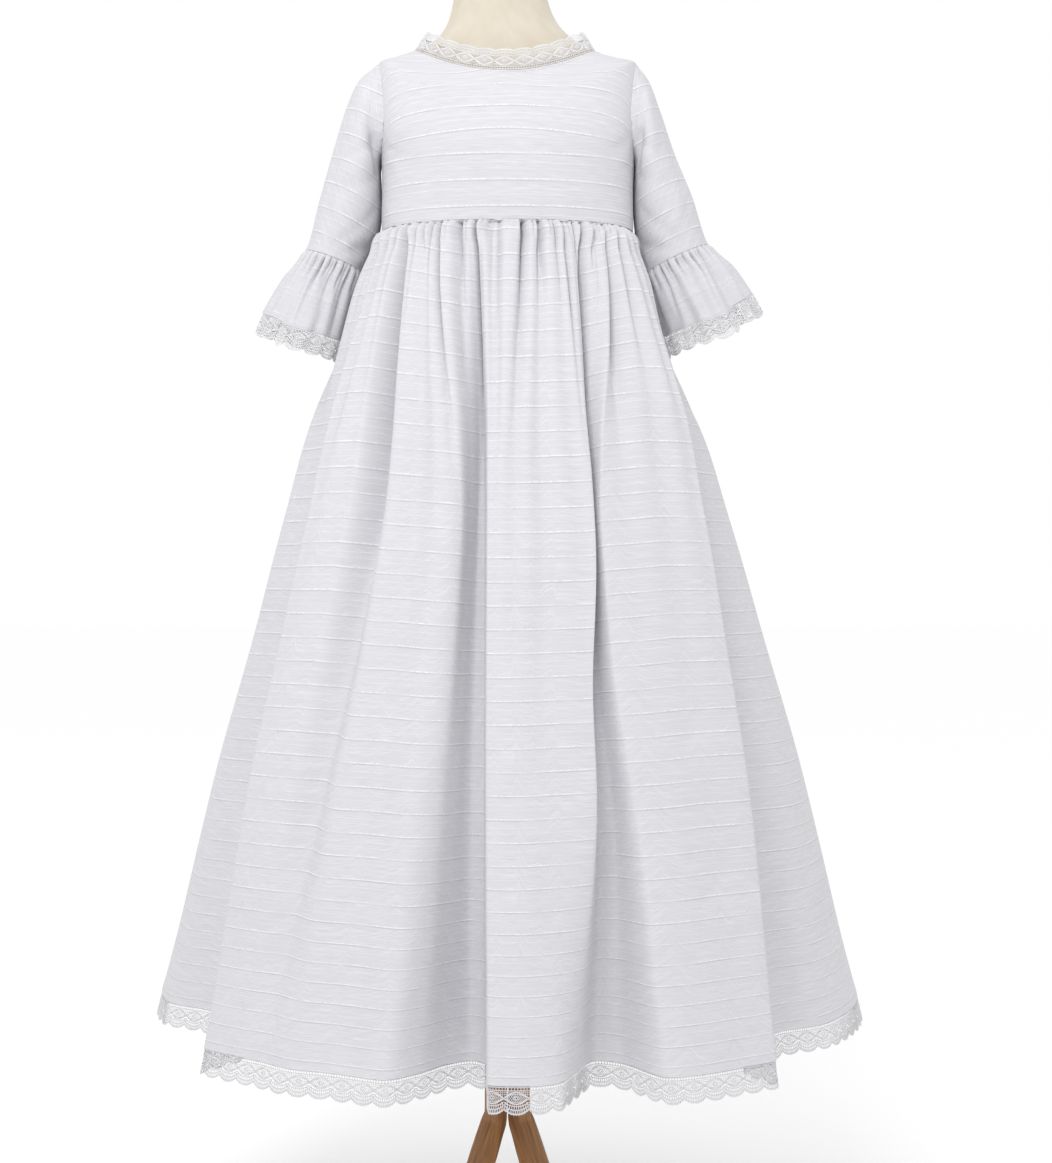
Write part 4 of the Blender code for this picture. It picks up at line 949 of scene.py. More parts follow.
def shell_faces(rows, columns, closed, base):
    """Corner indices of the quads between grid points, and the grid place of each corner."""
    spans = columns if closed else columns - 1
    r, c = np.meshgrid(np.arange(rows - 1), np.arange(spans), indexing="ij")
    place = np.stack([r.ravel(), c.ravel()], 1)
    places = np.stack([place + step for step in ((0, 0), (0, 1), (1, 1), (1, 0))], 1)
    corners = base + places[..., 0] * columns + places[..., 1] % columns
    return corners, places


def rim_faces(rows, columns, closed):
    """Corners of the quads that close a shell's edges, as outer and inner grid places."""
    edges = []
    for c in range(columns if closed else columns - 1):
        edges.append(((0, c + 1), (0, c)))
        edges.append(((rows - 1, c), (rows - 1, c + 1)))
    if not closed:
        for r in range(rows - 1):
            edges.append(((r, 0), (r + 1, 0)))
            edges.append(((r + 1, columns - 1), (r, columns - 1)))
    return [((True, start), (True, end), (False, end), (False, start)) for start, end in edges]


def finish_piece(piece, node):
    """Let a piece stand for a solid and ride with it."""
    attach(piece, "root")
    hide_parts(node)
    return piece


def make_cloth(node, grid, across, along, ribs, outward, closed=False, material="ribbed_voile"):
    """A thin closed shell of voile about a grid of middle points, which stands for a node.

    The rest holds a value for each point: distances across and along the cloth, the number of the
    rib, and a direction that lies on the shell's outer side.
    """
    rows, columns = grid.shape[:2]
    normals = grid_normals(grid, closed)
    flipped = np.sum(normals * outward) < 0
    offset = (-normals if flipped else normals) * sizes().cloth_thickness / 2
    points = np.concatenate([(grid + offset).reshape(-1, 3), (grid - offset).reshape(-1, 3)])
    count = rows * columns
    outer_corners, places = shell_faces(rows, columns, closed, 0)
    inner_corners, _ = shell_faces(rows, columns, closed, count)
    rim = rim_faces(rows, columns, closed)
    rim_corners = [
        [(0 if is_outer else count) + r * columns + c % columns for is_outer, (r, c) in quad]
        for quad in rim
    ]
    rim_places = [[place for _, place in quad] for quad in rim]
    corners = np.concatenate([outer_corners, inner_corners[:, ::-1], rim_corners])
    places = np.concatenate([places, places[:, ::-1], rim_places])
    if flipped:
        corners = corners[:, ::-1]
        places = places[:, ::-1]
    r, c = places[..., 0], places[..., 1]
    layers = {"cloth": np.stack([across[r, c], along[r, c]], -1),
              "ribs": np.stack([across[r, c], ribs[r, c]], -1)}
    piece = new_object(f"{node}_cloth", points, corners.tolist(), layers,
                       ready_material(material), SHELL_SHARP_ANGLE)
    return finish_piece(piece, node)


def crease_lines(rows, point_at):
    """Creases as lines in space: both ends, a half width and a depth."""
    return [(np.array(point_at(*row[:2])), np.array(point_at(*row[2:4])), *row[4:])
            for row in rows]


def line_troughs(points, lines):
    """How deep soft creases draw in each point, least at a crease's ends."""
    depth = np.zeros(points.shape[:-1])
    for start, end, half_width, deep in lines:
        run = end - start
        t = np.clip((points - start) @ run / (run @ run), 0.0, 1.0)
        gap = np.linalg.norm(points - start - t[..., None] * run, axis=-1)
        middle = np.sin(np.pi * (t * CREASE_TAPER["span"] + CREASE_TAPER["start"]))
        taper = CREASE_TAPER["least"] + (1.0 - CREASE_TAPER["least"]) * middle
        depth += deep * taper * np.exp(-((gap / half_width) ** 2))
    return depth


def soft_unevenness(grid, size):
    """A slow swell of the cloth, so that no panel is a perfect surface."""
    waves = [share * np.sin(grid @ np.array(beats) + start)
             for beats, start, share in UNEVEN_WAVES]
    return size * sum(waves)


# Nodes of materials

def add_node(tree, kind, inputs=None, **settings):
    """A shader node with its settings, and inputs as numbers or as sockets to link."""
    made = tree.nodes.new(kind)
    for name, value in settings.items():
        setattr(made, name, value)
    for name, value in (inputs or {}).items():
        if isinstance(value, bpy.types.NodeSocket):
            tree.links.new(value, made.inputs[name])
        else:
            made.inputs[name].default_value = value
    return made


def math_node(tree, operation, first, second=0.0):
    return add_node(tree, "ShaderNodeMath", {0: first, 1: second}, operation=operation).outputs[0]


def product(tree, value, *factors):
    for factor in factors:
        value = math_node(tree, "MULTIPLY", value, factor)
    return value


def total(tree, value, *terms):
    for term in terms:
        value = math_node(tree, "ADD", value, term)
    return value


def uv_layer(tree, name):
    return add_node(tree, "ShaderNodeUVMap", uv_map=name).outputs[0]


def scaled_noise(tree, vector, scale, detail=2.0, roughness=0.5):
    """Noise in a stretched space, where scale holds how often it repeats in a metre each way."""
    mapping = add_node(tree, "ShaderNodeMapping", {"Vector": vector, "Scale": scale})
    inputs = {"Vector": mapping.outputs[0], "Scale": 1.0, "Detail": detail,
              "Roughness": roughness}
    return add_node(tree, "ShaderNodeTexNoise", inputs).outputs["Fac"]


def remap(tree, value, low, high, to_low, to_high):
    inputs = {"Value": value, "From Min": low, "From Max": high, "To Min": to_low,
              "To Max": to_high}
    return add_node(tree, "ShaderNodeMapRange", inputs, clamp=True).outputs[0]


def start_material(name, roughness, sheen=0.0, specular=0.3):
    material = bpy.data.materials.new(name)
    material.use_nodes = True
    shader = material.node_tree.nodes["Principled BSDF"]
    inputs = {"Roughness": roughness, "Sheen Weight": sheen, "Sheen Roughness": 0.5,
              "Specular IOR Level": specular}
    for socket, value in inputs.items():
        shader.inputs[socket].default_value = value
    return material, material.node_tree, shader


def paint(tree, shader, colour, height=None, strength=1.0, distance=0.0):
    """Give a shader its colour and, from a height of 0 to 1, its relief of a depth in metres."""
    tree.links.new(colour, shader.inputs["Base Color"])
    if height is not None:
        inputs = {"Strength": strength, "Distance": distance, "Height": height}
        bump = add_node(tree, "ShaderNodeBump", inputs)
        tree.links.new(bump.outputs[0], shader.inputs["Normal"])


def mix_colour(tree, share, first, second):
    made = tree.nodes.new("ShaderNodeMix")
    made.data_type = "RGBA"
    sockets = {"Factor": 0, "A": 6, "B": 7}
    for name, value in (("Factor", share), ("A", first), ("B", second)):
        socket = made.inputs[sockets[name]]
        if isinstance(value, bpy.types.NodeSocket):
            tree.links.new(value, socket)
        elif name == "Factor":
            socket.default_value = value
        else:
            socket.default_value = (*value, 1.0)
    return made.outputs[2]


def rib_line(tree, number, place, half_width):
    """A soft line on every rib number plus a place, as 1 on the line and 0 off it."""
    shifted = math_node(tree, "SUBTRACT", number, place - 0.5)
    share = math_node(tree, "FRACT", shifted)
    away = math_node(tree, "ABSOLUTE", math_node(tree, "SUBTRACT", share, 0.5))
    return remap(tree, away, 0.0, half_width, 1.0, 0.0)


def voile_material(name, look, ribs=1.0):
    """White voile: fine plain weave, long slubs, and raised ribs with a broken, dotted line."""
    material, tree, shader = start_material(name, 0.88, sheen=0.12, specular=0.25)
    cloth = uv_layer(tree, "cloth")
    noise = {
        kind: scaled_noise(tree, cloth, (across, along, 1.0), detail, roughness)
        for kind, (across, along, detail, roughness) in VOILE_NOISE.items()
    }
    rib_map = add_node(tree, "ShaderNodeSeparateXYZ", {"Vector": uv_layer(tree, "ribs")})
    sway = remap(tree, noise["sway"], 0.3, 0.7, -VOILE_SWAY, VOILE_SWAY)
    number = total(tree, rib_map.outputs["Y"], sway)
    dots = remap(tree, noise["dots"], 0.40, 0.60, 0.30, 1.0)
    broken = remap(tree, noise["broken"], 0.34, 0.60, 0.30, 1.0)
    line = {
        kind: product(tree, rib_line(tree, number, place, half_width), strength)
        for kind, (place, half_width, strength) in VOILE_LINES.items()
    }
    main = product(tree, line["main"], broken, dots)
    second = product(tree, line["second"], broken)
    lines = product(tree, total(tree, main, second, line["third"]), ribs)
    under = product(tree, line["under"], broken, ribs)

    share = remap(tree, noise["slubs"], 0.32, 0.66, 0.0, 1.0)
    colour = mix_colour(tree, share, look.shade_colour, look.cloth_colour)
    for kind, low, high, strength in VOILE_SHADES:
        share = remap(tree, noise[kind], low, high, 0.0, strength)
        colour = mix_colour(tree, share, colour, look.shade_colour)
    # Painted shadow: a fine darker line below each rib, where the rib's shadow falls.
    colour = mix_colour(tree, product(tree, under, 0.70), colour, look.painted_rib_shadow_colour)
    colour = mix_colour(tree, product(tree, lines, 0.95), colour, look.rib_colour)

    heights = [product(tree, noise[kind], share) for kind, share in VOILE_RELIEF.items()]
    height = total(tree, lines, *heights, product(tree, under, -0.25))
    paint(tree, shader, colour, height, strength=0.75, distance=0.0006)
    return material


def lace_material(name, look, base):
    """White cotton cord, with the twist of its yarn as fine relief."""
    material, tree, shader = start_material(name, 0.85, sheen=0.10, specular=0.25)
    cloth = uv_layer(tree, "cloth")
    twist = scaled_noise(tree, cloth, (1900.0, 1900.0, 1.0), 2.0, 0.6)
    wear = scaled_noise(tree, cloth, (60.0, 60.0, 1.0))
    share = remap(tree, wear, 0.35, 0.65, 0.0, 0.30)
    # The base colour is painted: darker as shade for the hem's lace and the stitches, lighter as
    # light for the lace at the neck and the ruffles.
    colour = mix_colour(tree, share, base, look.shade_colour)
    paint(tree, shader, colour, twist, strength=0.5, distance=0.0003)
    return material


def jersey_material(look):
    """Cream jersey, stretched over the padding: fine upright wales and a faint mottle."""
    material, tree, shader = start_material("form_jersey", 0.90, sheen=0.15, specular=0.2)
    cloth = uv_layer(tree, "cloth")
    wales = scaled_noise(tree, cloth, (1300.0, 260.0, 1.0), 2.0, 0.6)
    mottle = scaled_noise(tree, cloth, (22.0, 30.0, 1.0), 4.0, 0.55)
    share = remap(tree, mottle, 0.3, 0.72, 0.0, 1.0)
    colour = mix_colour(tree, share, look.form_colour, look.form_shade_colour)
    fleck = remap(tree, wales, 0.30, 0.70, 0.12, 0.0)
    colour = mix_colour(tree, fleck, colour, look.form_shade_colour)
    paint(tree, shader, colour, wales, strength=0.6, distance=0.0004)
    return material


def wood_material(name, look, vector_kind):
    """Stained wood: long grain with darker pores, and a soft sheen that varies along the grain."""
    material, tree, shader = start_material(name, 0.48, specular=0.45)
    if vector_kind == "UV":
        vector = uv_layer(tree, "cloth")
    else:
        vector = add_node(tree, "ShaderNodeTexCoord").outputs["Object"]
    grain_scale, pore_scale = WOOD_SCALES[vector_kind]
    grain = scaled_noise(tree, vector, grain_scale, 4.0, 0.6)
    pores = scaled_noise(tree, vector, pore_scale, 2.0, 0.6)
    share = remap(tree, grain, 0.36, 0.66, 0.0, 1.0)
    colour = mix_colour(tree, share, look.wood_colour, look.wood_grain_colour)
    share = remap(tree, pores, 0.52, 0.66, 0.0, 0.55)
    colour = mix_colour(tree, share, colour, look.wood_pore_colour)
    rough = remap(tree, grain, 0.3, 0.7, 0.40, 0.58)
    tree.links.new(rough, shader.inputs["Roughness"])
    paint(tree, shader, colour, pores, strength=0.35, distance=0.0004)
    return material


# What a user may change

def colour_property(name, description, default):
    return bpy.props.FloatVectorProperty(name=name, description=description, subtype="COLOR",
                                         size=3, min=0.0, max=1.0, default=default)


def length_property(name, description, default, low, high):
    return bpy.props.FloatProperty(name=name, description=description, subtype="DISTANCE",
                                   unit="LENGTH", default=default, min=low, max=high)


class DressLook(bpy.types.PropertyGroup):
    """Colours of the dress, the form and the stand."""

    cloth_colour: colour_property("Cloth", "Colour of the voile", (0.650, 0.645, 0.672))
    shade_colour: colour_property("Cloth shade", "Thinner places of the voile",
                                  (0.555, 0.550, 0.577))
    # Painted shadow: the colour of the fine line below each rib.
    painted_rib_shadow_colour: colour_property("Under the ribs", "Fine shade below each rib",
                                  (0.400, 0.395, 0.420))
    rib_colour: colour_property("Ribs", "Colour of the raised ribs", (0.850, 0.850, 0.860))
    # Painted shade: the hem's lace is the same white cotton as the lace at the neck and the
    # ruffles, painted darker to take away the light that the floor throws up onto it.
    hem_lace_shaded_colour: colour_property("Lace", "Colour of the hem's lace", (0.660, 0.658, 0.680))
    # Painted light: the lace at the neck and the ruffles is painted lighter to make up for the
    # shade in its dense net.
    trim_lace_lit_colour: colour_property("Fine lace", "Colour of the lace at the neck and the ruffles",
                                 (0.785, 0.781, 0.794))
    form_colour: colour_property("Form", "Colour of the form's jersey", (0.640, 0.588, 0.502))
    form_shade_colour: colour_property("Form shade", "Darker places of the jersey",
                                       (0.570, 0.510, 0.408))
    wood_colour: colour_property("Wood", "Lighter colour of the wood", (0.420, 0.195, 0.062))
    wood_grain_colour: colour_property("Grain", "Darker colour of the grain",
                                       (0.205, 0.088, 0.030))
    wood_pore_colour: colour_property("Pores", "Colour of the wood's pores",
                                      (0.090, 0.045, 0.025))


class DressSizes(bpy.types.PropertyGroup):
    """Sizes of the cloth and how finely it is built."""

    cloth_thickness: length_property("Cloth", "Thickness of the voile", 0.0011, 0.0005, 0.003)
    cord_width: length_property("Lace cord", "Width of the lace's heavy cords",
                                0.0011, 0.0005, 0.002)
    thread_width: length_property("Lace thread", "Width of the lace's net threads",
                                  0.0005, 0.0002, 0.001)
    stitch_pitch: length_property("Stitch pitch", "Distance from stitch to stitch",
                                  0.0027, 0.001, 0.006)
    columns_per_gather: bpy.props.IntProperty(
        name="Columns", description="Columns of the skirt's mesh in each gather", default=8,
        min=4, max=16)


def look():
    return bpy.context.scene.dress_look


def sizes():
    return bpy.context.scene.dress_sizes


def ready_material(name):
    """The material of that name, made when it is first asked for."""
    if name in bpy.data.materials:
        return bpy.data.materials[name]
    makers = {
        "ribbed_voile": lambda: voile_material(name, look()),
        "ruffle_voile": lambda: voile_material(name, look(), ribs=0.35),
        # The hem's lace and the stitches get a colour painted darker as shade, and the lace of the
        # trims one painted lighter as light.
        "lace_cotton": lambda: lace_material(name, look(), look().hem_lace_shaded_colour),
        "trim_cotton": lambda: lace_material(name, look(), look().trim_lace_lit_colour),
        "form_jersey": lambda: jersey_material(look()),
        "leg_wood": lambda: wood_material(name, look(), "UV"),
        "stand_wood": lambda: wood_material(name, look(), "Object"),
    }
    return makers[name]()


# Bodice

def bodice_levels():
    """Levels of the bodice's rows, closer together beside the armhole."""
    waist = level_of("waist")
    tip = level_of("tip")
    beside_armhole = [armhole_level(turn) for turn in even(180.0, 0.0, 34)]
    return even(waist, waist + 2.0, 14)[:-1] + beside_armhole + even(tip, tip + 2.0, 12)[1:]


def bodice_grid(first, last, columns):
    """Middle points of a bodice panel between two seams, cut away round the armhole."""
    rows = []
    for level in bodice_levels():
        away = armhole_half_angle(level)
        inset = away + SEAM_ANGLE + (ARMHOLE_INSET - SEAM_ANGLE) * min(1.0, away / 3.0)
        start = first + (inset if first in (-90.0, 90.0) else SEAM_ANGLE)
        end = last - (inset if last in (90.0, 270.0) else SEAM_ANGLE)
        rows.append([body_point(angle, level) for angle in even(start, end, columns)])
    return np.array(rows)


def level_at_height(angle, z):
    low = level_of("waist")
    high = level_of("neckline")
    for _ in range(24):
        middle = (low + high) / 2
        if body_point(angle, middle).z < z:
            low = middle
        else:
            high = middle
    return low


def make_bodice_panel(node, first, last, columns):
    grid = bodice_grid(first, last, columns)
    outward = from_axis(grid)
    lines = crease_lines(
        BODICE_CREASES, lambda angle, z: body_point(angle, level_at_height(angle, z)))
    amounts = soft_unevenness(grid, UNEVEN_BODICE) - line_troughs(grid, lines)
    above_seam = np.clip((grid[..., 2] - WAIST_Z) / BODICE_FADE, 0.0, 1.0)
    grid = push(grid, facing_normals(grid, outward), amounts * above_seam)
    up = lengths_along(grid, 0)
    across = np.tile(lengths_along(grid, 1)[0], (len(grid), 1)) * BODICE_RIB["stretch"]
    ribs = (BODICE_RIB["first"] - up) / BODICE_RIB["repeat"]
    return make_cloth(node, grid, across, up, ribs, outward)


class MakeBodice(bpy.types.Operator):
    """Make the bodice's front and its two back panels"""

    bl_idname = "dress.make_bodice"
    bl_label = "Bodice"

    def execute(self, context):
        front = make_bodice_panel("bodice_front", -90.0, 90.0, 88)
        for node, first in (("bodice_back_right", 90.0), ("bodice_back_left", 180.0)):
            panel = make_bodice_panel(node, first, first + 90.0, 44)
        return {"FINISHED"}


# Sleeves and ruffles

def tube_grid(point_at, stations, columns):
    """Points of a closed tube by station and turn."""
    turns = even(0.0, 360.0, columns)[:-1]
    return np.array([[point_at(turn, station) for turn in turns] for station in stations])


def frill_grid(side, stations, columns=FRILL_COLUMNS):
    """Points of a ruffle by station and turn."""
    return tube_grid(lambda turn, station: frill_point(turn, station, side), stations, columns)


def closed_lengths(grid):
    """Distances round a closed grid's first row, with one more column for the closing point."""
    wrapped = np.concatenate([grid, grid[:, :1]], axis=1)
    return np.tile(lengths_along(wrapped, 1)[0], (grid.shape[0], 1))


def with_last_column(values):
    return np.concatenate([values, values[:, :1]], axis=1)


def make_sleeve(side):
    stations = [0.0, 0.05, 0.12, 0.2, *even(0.3, 4.95, 62), 4.98, CUFF_RING]
    columns = 120
    grid = tube_grid(lambda turn, station: sleeve_point(turn, station, side), stations, columns)
    outward = from_middle(grid)
    turned = SLEEVE_LEFT_TURN if side == "left" else 0.0
    lines = crease_lines(SLEEVE_CREASES, lambda turn, ring: sleeve_point(turn + turned, ring, side))
    off_seams = [fade(0.0, SLEEVE_FADE["armhole"], station)
                 * (1.0 - fade(SLEEVE_FADE["cuff"], CUFF_RING, station)) for station in stations]
    amounts = soft_unevenness(grid, UNEVEN_SLEEVE) - line_troughs(grid, lines)
    amounts *= np.array(off_seams)[:, None]
    turns = np.array(even(0.0, 360.0, columns)[:-1])
    ripples = sum(share * np.sin(np.radians(turns * beats + start))
                  for beats, start, share in SLEEVE_PUCKER_WAVES)
    pucker = [bell(station - SLEEVE_PUCKER["ring"], SLEEVE_PUCKER["reach"]) * (station > 0.0)
              for station in stations]
    amounts += SLEEVE_PUCKER["depth"] * np.outer(pucker, ripples)
    grid = push(grid, facing_normals(grid, outward, True), amounts)
    below = SLEEVE_RIB[side] + SLEEVE_RIB["slope"] * np.abs(grid[..., 0]) - grid[..., 2]
    piece = make_cloth(
        f"sleeve_{side}", grid, closed_lengths(grid), with_last_column(lengths_along(grid, 0)),
        with_last_column(below / SLEEVE_RIB["repeat"]), outward, closed=True)


def make_ruffle(side):
    stations = [5.012, 5.05, *even(5.1, FRILL_EDGE_RING, 30)]
    grid = frill_grid(side, stations, 2 * FRILL_COLUMNS)
    outward = from_middle(grid)
    below_cuff = np.array([fade(*RUFFLE_FADE, station) for station in stations])
    amounts = soft_unevenness(grid, UNEVEN_RUFFLE) * below_cuff[:, None]
    grid = push(grid, facing_normals(grid, outward, True), amounts)
    down = with_last_column(lengths_along(grid, 0))
    ribs = down / RUFFLE_RIB["repeat"] + RUFFLE_RIB["first"]
    piece = make_cloth(f"sleeve_ruffle_{side}", grid, closed_lengths(grid[::-1]), down, ribs,
                       outward, closed=True, material="ruffle_voile")


class MakeSleeves(bpy.types.Operator):
    """Make both sleeves and the gathered ruffle on each"""

    bl_idname = "dress.make_sleeves"
    bl_label = "Sleeves and ruffles"

    def execute(self, context):
        for side in ("right", "left"):
            make_sleeve(side)
            make_ruffle(side)
        return {"FINISHED"}


# Skirt

def skirt_heights():
    """Heights of the skirt's rows, closer together under the waist."""
    shares = even(0.0, 1.0, WAIST_ROWS["count"])
    top = [WAIST_Z - SEAM - WAIST_ROWS["depth"] * share ** WAIST_ROWS["power"] for share in shares]
    return top[:-1] + even(top[-1], HEM_Z, 98)


def skirt_gathers(first, last):
    """Places of the skirt's columns between two seams, closer together in the front."""
    detail = FRONT_DETAIL if first < 0.0 else 1.0
    gathers = even(first, last, round((last - first) * sizes().columns_per_gather * detail))
    gathers[0] += SEAM_GATHER
    gathers[-1] -= SEAM_GATHER
    return gathers


def rib_numbers(gathers, heights):
    """Which rib lies at each place of the skirt, counted on the cloth down its front."""
    down = lengths_along(skirt_grid([RIB_GATHER], heights), 0)[:, 0]
    numbers = np.zeros((len(heights), len(gathers)))
    for column, gather in enumerate(gathers):
        angle = (360.0 * gather / GATHERS + 90.0) % 180.0 - 90.0
        shift = RIB_SIDE_SHIFT * min(1.0, (angle / RIB_SIDE_ANGLE) ** 2)
        for row, distance in enumerate(down):
            place = distance + shift * (1.0 - distance / down[-1])
            numbers[row, column] = smooth_value(RIB_PLACES, RIB_NUMBERS, place)
    return numbers


def make_skirt_panel(node, first, last):
    gathers = skirt_gathers(first, last)
    heights = skirt_heights()
    grid = skirt_grid(gathers, heights)
    outward = from_axis(grid)
    wrinkles = [row for row in SKIRT_WRINKLES if first < row[0] < last]
    lines = crease_lines(wrinkles, lambda gather, z: skirt_grid([gather], [z])[0, 0])
    above_fold = [fade(0.0, HEM_FOLD["edge"], z - HEM_Z - HEM_FOLD["height"]) for z in heights]
    amounts = HEM_FOLD["thickness"] * (1.0 - np.array(above_fold))[:, None]
    amounts = amounts - line_troughs(grid, lines)
    grid = push(grid, facing_normals(grid, outward), amounts)
    down = lengths_along(grid, 0)
    hem = lengths_along(grid, 1)[-1]
    piece = make_cloth(node, grid, np.tile(hem, (len(heights), 1)), down,
                       rib_numbers(gathers, heights), outward)
    return piece, float(hem[-1]), float(down.mean(axis=1)[-1])


class MakeSkirt(bpy.types.Operator):
    """Make the skirt's gathered front and its two gathered back panels"""

    bl_idname = "dress.make_skirt"
    bl_label = "Skirt"

    def execute(self, context):
        for node, first, last in (("skirt_front", -QUARTER, QUARTER),
                                  ("skirt_back_right", QUARTER, 2 * QUARTER),
                                  ("skirt_back_left", 2 * QUARTER, 3 * QUARTER)):
            piece, width, length = make_skirt_panel(node, first, last)
        return {"FINISHED"}


# Lace

def wave_at(x):
    """How far the lace's crossing waves lie from their middle at a place across the repeat."""
    return LACE_WAVE["swing"] * math.sin(math.pi * x / LACE_REPEAT)


def arc_point(ring, t, scallop):
    """A point of a hanging arc, where t runs from -1 to 1 across the repeat."""
    top, drop, half_width = LACE_ARCS[ring][:3]
    fall = drop * (1.0 - scallop * abs(t) ** ARC_POWER)
    return LACE_REPEAT * (0.5 + half_width * t), top + fall


def lace_net(middle, width):
    """The threads of the net inside the crossing waves, which lean both ways."""
    lines = []
    for k in range(-3, LACE_NET["per_repeat"] + 4):
        for direction in (1.0, -1.0):
            points = []
            for part in (-1, 0, 1):
                x = width * k / LACE_NET["per_repeat"] + direction * part * LACE_NET["lean"]
                if 0.0 <= x <= width:
                    reach = wave_at(x)
                    y = middle + max(-reach, min(reach, part * LACE_NET["rise"]))
                    points.append((x, y))
            if len(points) > 1 and abs(points[0][1] - points[-1][1]) > LACE_NET["shortest"]:
                lines.append(points)
    return lines


def lace_strokes(scallop):
    """The cords of one repeat of the lace, as points across and down, a width and a height.

    scallop is the depth of the scallops at its edge, as a share of the full one.
    """
    width = LACE_REPEAT
    middle = LACE_WAVE["middle"]
    cords = {"cord": sizes().cord_width, "thread": sizes().thread_width}
    strokes = []

    def add(kind, *points):
        cord, share, height = LACE_CORDS[kind]
        strokes.append((points, cords[cord] * share, height))

    for kind, y in (("heading", LACE_HEADING["top"]), ("foot", LACE_HEADING["foot"])):
        add(kind, *[(x, y) for x in even(0.0, width, 6)])
    for k in range(LACE_HEADING["bars"]):
        x = width * (k + 0.5) / LACE_HEADING["bars"]
        add("bar", (x, LACE_HEADING["bar_top"]), (x, LACE_HEADING["foot"]))
    inner = LACE_WAVE["inner"] / LACE_WAVE["swing"]
    for sign in (1.0, -1.0):
        add("wave", *[(x, middle + sign * wave_at(x)) for x in even(0.0, width, 12)])
        add("inner", *[(x, middle + sign * inner * wave_at(x)) for x in even(0.0, width, 10)])
    half = LACE_WAVE["eye"]
    eye = ((0.36, 0.0), (0.5, -half), (0.64, 0.0), (0.5, half), (0.36, 0.0))
    add("eye", *[(width * share, middle + down) for share, down in eye])
    for points in lace_net(middle, width):
        add("thread", *points)
    for k in range(LACE_NET["uprights"]):
        x = width * (k + 0.5) / LACE_NET["uprights"]
        low = middle - wave_at(x)
        if low > LACE_NET["upright_low"]:
            add("thread", (x, LACE_NET["upright_top"]), (x, low))
    for y in LACE_NET["level"]:
        end = width * math.asin(min(1.0, (middle - y) / LACE_WAVE["swing"])) / math.pi
        add("thread", (0.0, y), (end, y))
        add("thread", (width - end, y), (width, y))
    for ring, (_, _, _, steps) in enumerate(LACE_ARCS):
        add(f"arc_{ring}", *[arc_point(ring, t, scallop) for t in even(-1.0, 1.0, steps)])
    for ring, steps in enumerate(LACE_LINKS["counts"]):
        for t in even(-LACE_LINKS["reach"], LACE_LINKS["reach"], steps):
            add("link", arc_point(ring, t, scallop), arc_point(ring + 1, t, scallop))
    for t in even(-0.5, 0.5, LACE_LINKS["stays"]):
        x, low = arc_point(0, t, scallop)
        top = middle + wave_at(x)
        if low - top > LACE_LINKS["shortest"]:
            add("stay", (x, top), (x, low))
    for centre in (0.0, width):
        for rung in range(LACE_LADDER["rungs"]):
            y = middle + LACE_LADDER["top"] + LACE_LADDER["pitch"] * rung
            reach = LACE_LADDER["reach"] + LACE_LADDER["growth"] * rung
            add("thread", (max(0.0, centre - reach), y), (min(width, centre + reach), y))
    half = LACE_PICOTS["half_width"]
    for t in even(-LACE_PICOTS["reach"], LACE_PICOTS["reach"], LACE_PICOTS["steps"]):
        x, y = arc_point(2, t, scallop)
        add("picot", (x - half, y), (x, y + LACE_PICOTS["depth"]), (x + half, y))
    return strokes


def lace_template(scallop):
    """One repeat as points across, down and out, and faces: each cord has a lozenge section."""
    points = []
    faces = []
    for line, width, height in lace_strokes(scallop):
        line = np.array(line)
        steps = unit(np.gradient(line, axis=0))
        side = np.stack([-steps[:, 1], steps[:, 0]], 1) * width / 2
        base = len(points)
        for (x, y), (dx, dy) in zip(line, side):
            points += [(x + dx, y + dy, 0.0), (x, y, height / 2),
                       (x - dx, y - dy, 0.0), (x, y, -height / 2)]
        last = base + 4 * (len(line) - 1)
        for a in range(base, last, 4):
            for corner in range(4):
                after = (corner + 1) % 4
                faces.append((a + corner, a + 4 + corner, a + 4 + after, a + after))
        faces.append((base, base + 1, base + 2, base + 3))
        faces.append((last + 3, last + 2, last + 1, last))
    return np.array(points), np.array(faces)


def lace_band(node, top, bottom, closed, cotton, scallop):
    """Copies of the repeat along an edge, bent to the surface between two lines of points."""
    if closed:
        top = np.concatenate([top, top[:1]])
        bottom = np.concatenate([bottom, bottom[:1]])
    fall = unit(bottom - top)
    along = np.gradient(top, axis=0)
    if closed:
        along[0] = along[-1] = top[1] - top[-2]
    normals = unit(np.cross(along, fall))
    lengths = line_lengths(top)
    repeats = round(lengths[-1] / LACE_REPEAT)
    stretch = lengths[-1] / (repeats * LACE_REPEAT)
    template, faces = lace_template(scallop)
    flat = np.concatenate([template + (k * LACE_REPEAT, 0.0, 0.0) for k in range(repeats)])
    flat[:, 0] *= stretch
    corners = np.concatenate([faces + k * len(template) for k in range(repeats)])
    across = np.clip(flat[:, 0], 0.0, lengths[-1])
    points = read_line(across, lengths, top)
    points += read_line(across, lengths, fall) * (flat[:, 1:2] + SEAM)
    points += read_line(across, lengths, normals) * flat[:, 2:3]
    piece = new_object(f"{node}_cotton", points, corners.tolist(),
                       {"cloth": flat[corners][..., :2]}, ready_material(cotton))
    turn_faces_out(piece)
    return finish_piece(piece, node), float(lengths[-1])


def hem_lines(first, last):
    """The skirt's lower edge and the lace's own edge below it."""
    return skirt_grid(skirt_gathers(first, last), [HEM_Z, HEM_Z - LACE_DEPTH])


